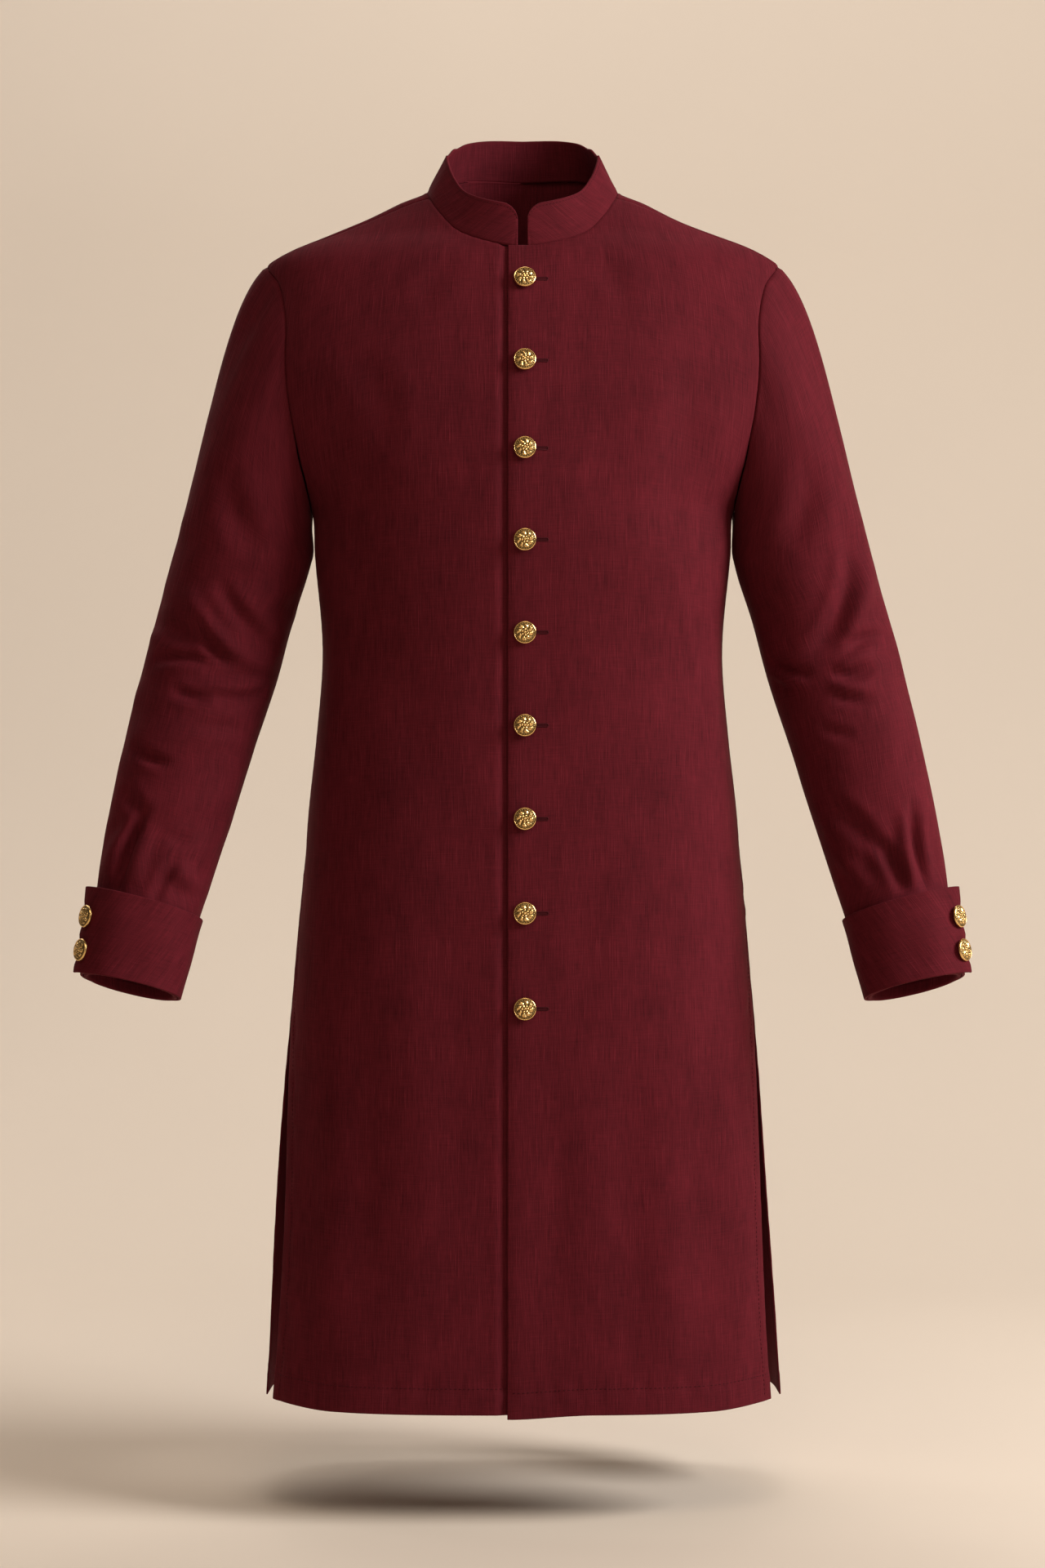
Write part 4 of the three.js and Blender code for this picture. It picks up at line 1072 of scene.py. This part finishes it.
def gold_material(shade, sizes):
    """Polished gold-coloured metal: painted shade darkens its relief's hollows, and its crests are
    smoother with fine wear.
    """
    relief = shade.node("ShaderNodeAttribute", {"attribute_name": "relief"}, output=2)
    place = shade.place()
    grain = shade.noise(place, 900.0, 3.0, 0.6)
    patches = shade.noise(place, 240.0)
    high = relief.step(0.08, 0.6)
    # Painted shade: the relief's hollows are painted 0.13 times as bright as its crests.
    hollows_painted_shade = shade.mix(high, colour(sizes.metal_colour, 0.13), colour(sizes.metal_colour))
    base = shade.mix((patches - 0.35) * 0.5, hollows_painted_shade, colour(sizes.metal_colour, 0.7))
    rough = 0.44 - high * 0.2 + (grain - 0.5) * 0.16
    shade.set(Base_Color=base, Metallic=1.0, Roughness=rough, Normal=shade.bump(grain, 0.25))


def stage_material(shade, _):
    """A pale matt floor and backdrop with a faint unevenness, clear from behind."""
    uneven = shade.noise(shade.place(), 1.4, 3.0)
    base = shade.mix(uneven, (0.675, 0.575, 0.475, 1.0), (0.725, 0.618, 0.51, 1.0))
    shade.set(Base_Color=base, Roughness=0.9 + (uneven - 0.5) * 0.1, Specular_IOR_Level=0.1)
    shade.clear_from_behind()


FINISHES = {
    "maroon_cloth_finish": (cloth_material, "kurta_cloth"),
    "maroon_thread": (thread_material, "kurta_cloth"),
    "gold_metal_finish": (gold_material, "kurta_buttons"),
    "stage_paint": (stage_material, "kurta_stage"),
}


def material(name):
    """The named finish, made the first time that it is asked for."""
    if name not in bpy.data.materials:
        fill, group = FINISHES[name]
        fill(Shade(name), getattr(bpy.context.scene, group))
    return bpy.data.materials[name]


# ---------------------------------------------------------------- small parts


def stitch_run(path, normals, length=2.9, gap=1.0, radius=0.24):
    """
    A run of stitches along a path that lies on cloth. Each is a five-sided tube whose middle
    stands 0.2 mm proud and whose ends dip in: height = radius * (1.6 * sin(pi t) - 0.7).
    """
    walked = lengths(path, 0)
    count = int(walked[-1] // (length + gap))
    starts = (np.arange(count) + 0.5) * walked[-1] / count - length / 2
    t = np.linspace(0, 1, 5)
    at = starts[:, None] + t * length
    point, normal = (
        np.stack([np.interp(at, walked, line[:, k]) for k in range(3)], -1)
        for line in (path, normals)
    )
    normal = unit(normal)
    side = unit(np.cross(unit(point[:, -1:] - point[:, :1]), normal))
    hump = np.sin(math.pi * t)
    point = point + normal * (radius * (1.6 * hump - 0.7))[:, None]
    ring = ring_round(side, normal, 5)
    vertices = point[:, :, None] + ring * (radius * (0.45 + 0.55 * hump**0.5))[:, None, None]
    one = cells(wrapped(numbered(5, 5)))
    faces = one + 25 * np.arange(count)[:, None, None]
    return vertices.reshape(-1, 3), faces.reshape(-1, 4)


def ring_round(side, up, count, flatten=1.0):
    """Directions round a path, in the plane of two vectors at each of its points."""
    turn = full_turn(count)[:, None]
    return side[..., None, :] * np.cos(turn) + up[..., None, :] * flatten * np.sin(turn)


def tube_along(path, normals, radius, closed, sides, flatten):
    """A tube carried along a path, flattened towards the surface by a share."""
    tangent = np.roll(path, -1, 0) - np.roll(path, 1, 0) if closed else np.gradient(path, axis=0)
    side = unit(np.cross(unit(tangent), normals))
    vertices = (path[:, None] + ring_round(side, normals, sides, flatten) * radius).reshape(-1, 3)
    number = wrapped(numbered(len(path), sides))
    faces = cells(wrapped(number, 0) if closed else number)
    return vertices, faces[:, ::-1] if is_inward(vertices, faces) else faces


def sewn(name, parts):
    """Thread work: several (vertices, faces) pairs as one object."""
    starts = np.cumsum([0] + [len(v) for v, _ in parts])
    faces = np.concatenate([f + start for (_, f), start in zip(parts, starts)])
    vertices = np.concatenate([v for v, _ in parts]) / 1000
    piece = new_object(name, vertices, faces.tolist(), material("maroon_thread"))
    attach(piece, "root")


def button_shape():
    """
    A shank button on +Z in millimetres, turned from a profile. Its face is a dome with a
    rosette: eight swept petals as ridges |cos(4 a)|, six inner ones, a boss, a ring of beads
    and, past a groove, a rolled rim.
    Returns vertices, faces and the relief's height at each vertex, from 0 to 1.
    """
    base, dome = BUTTON["shank_length"], BUTTON["dome"]
    around = 144
    a = full_turn(around)
    r = np.concatenate([np.linspace(0.25, 8.4, 34), np.linspace(8.55, 10, 12)])[:, None]
    share = r / BUTTON["radius"]
    height = base + BUTTON["rim"] * 0.45 + dome * np.sqrt(1 - (share * 0.985) ** 2) * 0.86
    petal = np.abs(np.cos(4 * a + 1.3 * np.sin(share * 4))) ** 1.2
    relief = petal * smooth((r - 3.5) / 0.7) * smooth((7.4 - r) / 0.7)
    relief += 0.9 * np.abs(np.cos(3 * a)) * smooth((r - 1.5) / 0.5) * smooth((3.5 - r) / 0.5)
    relief += 0.45 * np.abs(np.cos(12 * a)) * bell(r, 7.9, 0.4)
    relief += smooth((1.4 - r) / 0.5) + np.exp(-(((r - 9.35) / 0.62) ** 4))
    relief = np.clip(relief, 0, 1)
    edge, shank = BUTTON["radius"], BUTTON["shank"]
    under = table("r z", [
        (edge, base + 0.55), (edge - 0.4, base + 0.15), (edge - 1.2, base), (shank, base),
        (shank, 0), (0.3, 0),
    ])
    radii = np.concatenate([r, under["r"][:, None]])
    levels = np.concatenate([
        height + relief * 0.95 - 0.5, np.repeat(under["z"][:, None], around, 1),
    ])
    rings = np.stack([radii * np.cos(a), radii * np.sin(a), levels], -1)
    ends = np.array([[0, 0, levels[0].mean()], [0, 0, 0]])
    vertices = np.concatenate([rings.reshape(-1, 3), ends])
    relief = np.concatenate([relief.reshape(-1), np.full(under["r"].size * around, 0.5), [1.0, 0.5]])
    number = wrapped(numbered(len(rings), around))
    faces = cells(number)[:, [0, 3, 2, 1]].tolist()
    top, bottom = rings.shape[0] * around + np.zeros((2, around), int) + [[0], [1]]
    first, last = number[0], number[-1]
    faces += np.stack([top, first[:-1], first[1:]], 1).tolist()
    faces += np.stack([bottom, last[1:], last[:-1]], 1).tolist()
    return vertices, faces, relief


def placed_on(vertices, point, normal, spin):
    """Stands a shape made on +Z along a normal at a point, spun about it."""
    x_axis = unit(np.cross(UP, normal))
    y_axis = np.cross(normal, x_axis)
    c, s = math.cos(spin), math.sin(spin)
    return vertices @ np.stack([c * x_axis + s * y_axis, c * y_axis - s * x_axis, normal]) + point


# ---------------------------------------------------------------- shared grids

GRIDS = {}
MAKERS = {
    "front": front_grid, "back": back_grid, "collar": collar_grid, "sleeve": sleeve_grid,
    "cuff": cuff_grid, "cuff_turn": cuff_turn_grid,
}


def grid_of(kind, side=None):
    """A cloth piece's grid, worked out once, and mirrored for the right side."""
    if (kind, side) not in GRIDS:
        make = MAKERS[kind]
        points, normals, uv, thin = make(side) if kind in ("front", "sleeve") else make()
        if side == "right":
            points, normals = points * MIRROR, normals * MIRROR
        GRIDS[kind, side] = points, normals, uv, thin
    return GRIDS[kind, side]


def cloth_piece(kind, side=None):
    points, normals, uv, thin = grid_of(kind, side)
    name = f"{kind}_{side}" if side else kind
    is_fold = kind == "cuff_turn"
    label = name if is_fold else f"{name}_cloth"
    thickness, flat, area, held, rests = SHEETS[kind]
    closed = is_fold or kind == "sleeve"
    finish = material("maroon_cloth_finish")
    piece = wall_mesh(label, points, normals, thickness, uv, finish, closed, thin)
    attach(piece, "root")
    if not is_fold:
        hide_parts(name)


def front_button_levels():
    """Levels of the front buttons, spaced along the cloth."""
    z = np.arange(FRONT_BUTTONS["first"], -900, -1.0)
    walked = lengths(np.stack([z, form_at(z)[1]], -1), 0)
    step = np.arange(FRONT_BUTTONS["count"])
    wanted = step * FRONT_BUTTONS["pitch"] + FRONT_BUTTONS["growth"] * step * (step - 1) / 2
    return np.interp(wanted, walked, z)


def cell_at(points, normals, x, z):
    """The grid's place nearest to (x, z), seen from the front: its point and normal."""
    gap = (points[..., 0] - x) ** 2 + (points[..., 2] - z) ** 2
    r, c = np.unravel_index(np.argmin(gap), gap.shape)
    r, c = min(r, points.shape[0] - 2), min(c, points.shape[1] - 2)
    r -= points[r, c, 2] > z
    c -= points[r, c, 0] > x
    up = (z - points[r, c, 2]) / (points[r + 1, c, 2] - points[r, c, 2])
    across = (x - points[r, c, 0]) / (points[r, c + 1, 0] - points[r, c, 0])
    return on_cloth(points, normals, np.array(float(r + up)), np.array(float(c + across)))


def button_places():
    """Each button's CAD node, its point on the cloth and the cloth's normal there."""
    points, normals = grid_of("front", "left")[:2]
    places = []
    for i, z in enumerate(front_button_levels()):
        places.append((f"front_button_{i + 1}", *cell_at(points, normals, FRONT_BUTTONS["x"], z)))
    around = 1 - CUFF_BUTTON_FROM_EDGE / (CUFF_TURN["start"] - CUFF_TURN["end"])
    turns = lerp(CUFF_TURN["start"], CUFF_TURN["end"], around) + np.array([[-0.02, 0, 0.02]])
    for side in BOTH:
        flip = MIRROR if side == "right" else 1.0
        for i, height in enumerate(CUFF_BUTTON_HEIGHTS):
            ring, other = (ring_at(CUFF, np.full((1, 1), h)) for h in (height, height + 0.05))
            line = ring_point(ring, turns, SLEEVE_SQUARE, cuff_stand(turns, height))[0]
            above = ring_point(other, turns, SLEEVE_SQUARE, cuff_stand(turns, height + 0.05))[0]
            normal = unit(np.cross(above[1] - line[1], line[2] - line[0]))
            normal = normal * np.sign(normal @ (line[1] - ring[0][0, 0]))
            places.append((f"cuff_button_{side}_{i + 1}", line[1] * flip, normal * flip))
    return places


# ---------------------------------------------------------------- settings a user may change


def amount(name, description, default, low=0.0, high=1.0, **more):
    return bpy.props.FloatProperty(
        name=name, description=description, default=default, min=low, max=high, **more
    )


def tint(name, description, default):
    return bpy.props.FloatVectorProperty(
        name=name, description=description, default=default, subtype="COLOR", min=0.0, max=1.0
    )


def power(name, description, default):
    return amount(name, description, default, 0.0, 10000.0, unit="POWER")


class KurtaCloth(bpy.types.PropertyGroup):
    """The cloth's look."""

    cloth_colour: tint("Cloth colour", "The dye's mean colour", (0.085, 0.0074, 0.0122))
    thread_pitch: amount("Thread pitch", "Distance between threads, in millimetres", 0.85, 0.2, 3.0)
    weave_relief: amount("Weave relief", "How strongly the threads and slubs stand out", 0.55)
    sheen: amount("Sheen", "How much light the cloth's nap catches at its edges", 0.05)


class KurtaButtons(bpy.types.PropertyGroup):
    """The buttons' look."""

    metal_colour: tint("Metal colour", "The buttons' plating", (0.88, 0.57, 0.22))
    spin: amount(
        "Spin", "How far each button is turned from the one above it", 0.4, -math.pi, math.pi,
        subtype="ANGLE", unit="ROTATION",
    )


class KurtaStage(bpy.types.PropertyGroup):
    """The floor, lights and camera."""

    camera_distance: amount(
        "Camera distance", "From the garment's middle plane", EYE_AWAY / 1000, 0.5, 20.0,
        unit="LENGTH",
    )
    camera_height: amount(
        "Camera height", "Relative to the shoulders", EYE_LEVEL / 1000, -10.0, 10.0, unit="LENGTH"
    )
    lens: amount("Lens", "Focal length on a 36 mm long side", 73.48, 10.0, 500.0, unit="CAMERA")
    floor_level: amount(
        "Floor", "The floor's level below the shoulders", -1.175, -10.0, 10.0, unit="LENGTH"
    )
    key_power: power("Key light", "Power of the main light", 123.0)
    fill_power: power("Fill light", "Power of the light from the front", 21.5)
    wall_power: power("Wall light", "Power of the light on the backdrop", 12.8)


# ---------------------------------------------------------------- operators


class Step:
    """What the steps share: each makes its piece or group from the scene's settings."""

    def execute(self, context):
        self.make(context.scene)
        return {"FINISHED"}


class ClothStep(Step):
    """A step that makes cloth pieces, one of each kind or one on each side."""

    def make(self, scene):
        for side in self.sides:
            for kind in self.kinds:
                cloth_piece(kind, side)


class BuildStage(Step, bpy.types.Operator):
    """Makes the pale floor and backdrop, the soft lights and the camera."""

    bl_idname = "kurta.stage"
    bl_label = "Stage"

    def make(self, scene):
        sizes = scene.kurta_stage
        self.sweep(sizes.floor_level)
        for name, (place, aim, size, power_name, share, tint) in LAMPS.items():
            data = bpy.data.lights.new(name, "AREA")
            data.shape = "DISK"
            data.size = size
            data.energy = getattr(sizes, power_name) * share
            data.color = tint
            way = np.array(aim) - np.array(place)
            tip = math.atan2(math.hypot(way[0], way[1]), -way[2])
            self.stand(scene, name, data, place, (tip, 0.0, math.atan2(-way[0], way[1])))
        world = bpy.data.worlds.new("studio")
        world.use_nodes = True
        background = world.node_tree.nodes["Background"]
        background.inputs["Color"].default_value = (1.0, 0.8, 0.62, 1.0)
        background.inputs["Strength"].default_value = 0.1
        scene.world = world
        scene.view_settings.view_transform = "Standard"
        data = bpy.data.cameras.new("camera")
        data.sensor_width = 36.0
        data.lens = sizes.lens
        data.dof.use_dof = False
        place = (0.0, -sizes.camera_distance, sizes.camera_height)
        scene.camera = self.stand(scene, "camera", data, place, (math.pi / 2, 0.0, 0.0))

    @staticmethod
    def stand(scene, name, data, place, rotation):
        obj = bpy.data.objects.new(name, data)
        obj.location = place
        obj.rotation_euler = rotation
        scene.collection.objects.link(obj)
        return obj

    @staticmethod
    def sweep(floor_level):
        """Floor and backdrop in one sheet: flat, then a quarter circle, then upright."""
        bend = np.linspace(0, math.pi / 2, 24)
        radius, start = 1.6, 1.1
        y = np.concatenate([[-7.0], start + radius * np.sin(bend), [start + radius]])
        z = np.concatenate([[0.0], radius * (1 - np.cos(bend)), [6.0]]) + floor_level
        points = np.stack(np.broadcast_arrays([-8.0, 8.0], y[:, None], z[:, None]), -1)
        faces = cells(numbered(len(y), 2)).tolist()
        new_object("stage_sweep", points.reshape(-1, 3), faces, material("stage_paint"))


class BuildFronts(ClothStep, bpy.types.Operator):
    """Makes the two fronts, the left one lapped over the right."""

    bl_idname = "kurta.fronts"
    bl_label = "Fronts"
    kinds = ("front",)
    sides = BOTH


class BuildBack(ClothStep, bpy.types.Operator):
    """Makes the back."""

    bl_idname = "kurta.back"
    bl_label = "Back"
    kinds = ("back",)
    sides = (None,)


class BuildCollar(ClothStep, bpy.types.Operator):
    """Makes the stand collar."""

    bl_idname = "kurta.collar"
    bl_label = "Collar"
    kinds = ("collar",)
    sides = (None,)


class BuildSleeves(ClothStep, bpy.types.Operator):
    """Makes the two set-in sleeves."""

    bl_idname = "kurta.sleeves"
    bl_label = "Sleeves"
    kinds = ("sleeve",)
    sides = BOTH


class BuildCuffs(ClothStep, bpy.types.Operator):
    """Makes the turned-back cuffs and the folds under their lower edges."""

    bl_idname = "kurta.cuffs"
    bl_label = "Cuffs"
    kinds = ("cuff", "cuff_turn")
    sides = BOTH


class BuildButtons(Step, bpy.types.Operator):
    """Makes the embossed shank buttons of the front and the cuffs."""

    bl_idname = "kurta.buttons"
    bl_label = "Buttons"

    def make(self, scene):
        shape, faces, relief = button_shape()
        finish = material("gold_metal_finish")
        for i, (node, point, normal) in enumerate(button_places()):
            seat = point + normal * BUTTON["seat"]
            vertices = placed_on(shape, seat, normal, scene.kurta_buttons.spin * i) / 1000
            button = new_object(f"{node}_metal", vertices, faces, finish)
            # The relief's height also places the painted shade in the gold's hollows.
            values = button.data.attributes.new("relief", "FLOAT", "POINT").data
            values.foreach_set("value", relief.astype(np.float32))
            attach(button, "root")
            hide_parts(node)


class BuildButtonholes(Step, bpy.types.Operator):
    """Works a thread-bound buttonhole beside each front button."""

    bl_idname = "kurta.buttonholes"
    bl_label = "Buttonholes"

    def make(self, scene):
        points, normals = grid_of("front", "left")[:2]
        x0, x1 = (FRONT_BUTTONS["x"] + end for end in BUTTONHOLE_ENDS)
        turn = full_turn(60)
        turn = turn[np.abs(np.cos(turn)) >= 0.12]
        at_far_end = np.cos(turn) > 0
        bulge = 0.95 * np.where(at_far_end, 1.35, 1.0)
        loop_x = np.where(at_far_end, x1, x0) + bulge * np.cos(turn)
        slit_x = np.linspace(x0, x1 + 0.4, 8)

        def laid(xs, zs, proud):
            found = [cell_at(points, normals, x, z) for x, z in zip(xs, zs)]
            path, facing = (np.array(part) for part in zip(*found))
            return path + facing * proud, facing

        threads, slits = [], []
        for z in front_button_levels():
            loop = laid(loop_x, z + bulge * np.sin(turn), 0.12)
            threads.append(tube_along(*loop, 0.52, True, 8, 0.75))
            slit = laid(slit_x, np.full(8, z), 0.05)
            slits.append(tube_along(*slit, 0.42, False, 6, 0.25))
        sewn("buttonhole_threads", threads)
        sewn("buttonhole_slits", slits)


class BuildStitching(Step, bpy.types.Operator):
    """Sews the hems, the slits' edges and the collar's edge."""

    bl_idname = "kurta.stitching"
    bl_label = "Stitching"

    def make(self, scene):
        for kind, side in (("front", "left"), ("front", "right"), ("back", None)):
            points, normals = grid_of(kind, side)[:2]
            runs = [self.level_run(points, normals, HEM_TURN)]
            if kind == "back":
                runs.append(self.edge_run(points, normals))
            runs.append(self.edge_run(points[:, ::-1], normals[:, ::-1]))
            name = f"{kind}_{side}" if side else kind
            sewn(f"{name}_stitches", [stitch_run(*run) for run in runs])
        points, normals = grid_of("collar")[:2]
        run = self.level_run(points, normals, lengths(points, 0)[-1] - COLLAR_STITCH)
        sewn("collar_stitches", [stitch_run(*run, 2.4, 0.8, 0.2)])

    @staticmethod
    def level_run(points, normals, height, inset=3.0):
        """A path at a height above the lower edge, from side to side."""
        up = lengths(points, 0)
        cols = range(points.shape[1])
        heights = np.broadcast_to(height, len(cols))
        row = np.array([np.interp(heights[c], up[:, c], np.arange(len(up))) for c in cols])
        path, facing = on_cloth(points, normals, row, np.array(cols, float))
        walked = lengths(path, 0)
        keep = (walked > inset) & (walked < walked[-1] - inset)
        return path[keep], facing[keep]

    @staticmethod
    def edge_run(points, normals):
        """A path beside the first column's edge, from the hem to the slit's top."""
        across = lengths(points, 1)
        edge = points[:, 0, 2]
        rows = np.nonzero((edge < SLIT_TOP) & (edge > edge[0] + 3))[0]
        col = np.array([np.interp(SLIT_TURN, across[r], np.arange(across.shape[1])) for r in rows])
        return on_cloth(points, normals, rows.astype(float), col)


class KurtaPanel(bpy.types.Panel):
    """The kurta's settings and steps."""

    bl_idname = "VIEW3D_PT_kurta"
    bl_label = "Kurta"
    bl_space_type = "VIEW_3D"
    bl_region_type = "UI"
    bl_category = "Kurta"

    def draw(self, context):
        layout = self.layout
        for group in GROUPS:
            settings = getattr(context.scene, group)
            column = layout.column(align=True)
            for name in type(settings).__annotations__:
                column.prop(settings, name)
        for step in STEPS:
            layout.operator(step.bl_idname)


STEPS = (
    BuildStage, BuildFronts, BuildBack, BuildCollar, BuildSleeves, BuildCuffs, BuildButtons,
    BuildButtonholes, BuildStitching,
)
GROUPS = {"kurta_cloth": KurtaCloth, "kurta_buttons": KurtaButtons, "kurta_stage": KurtaStage}


def register():
    for cls in (*GROUPS.values(), *STEPS, KurtaPanel):
        bpy.utils.register_class(cls)
    for name, group in GROUPS.items():
        setattr(bpy.types.Scene, name, bpy.props.PointerProperty(type=group))


def unregister():
    for name in GROUPS:
        delattr(bpy.types.Scene, name)
    for cls in (KurtaPanel, *reversed(STEPS), *reversed(GROUPS.values())):
        bpy.utils.unregister_class(cls)


def main():
    register()
    for step in STEPS:
        group, name = step.bl_idname.split(".")
        getattr(getattr(bpy.ops, group), name)()


if __name__ == "__main__":
    main()
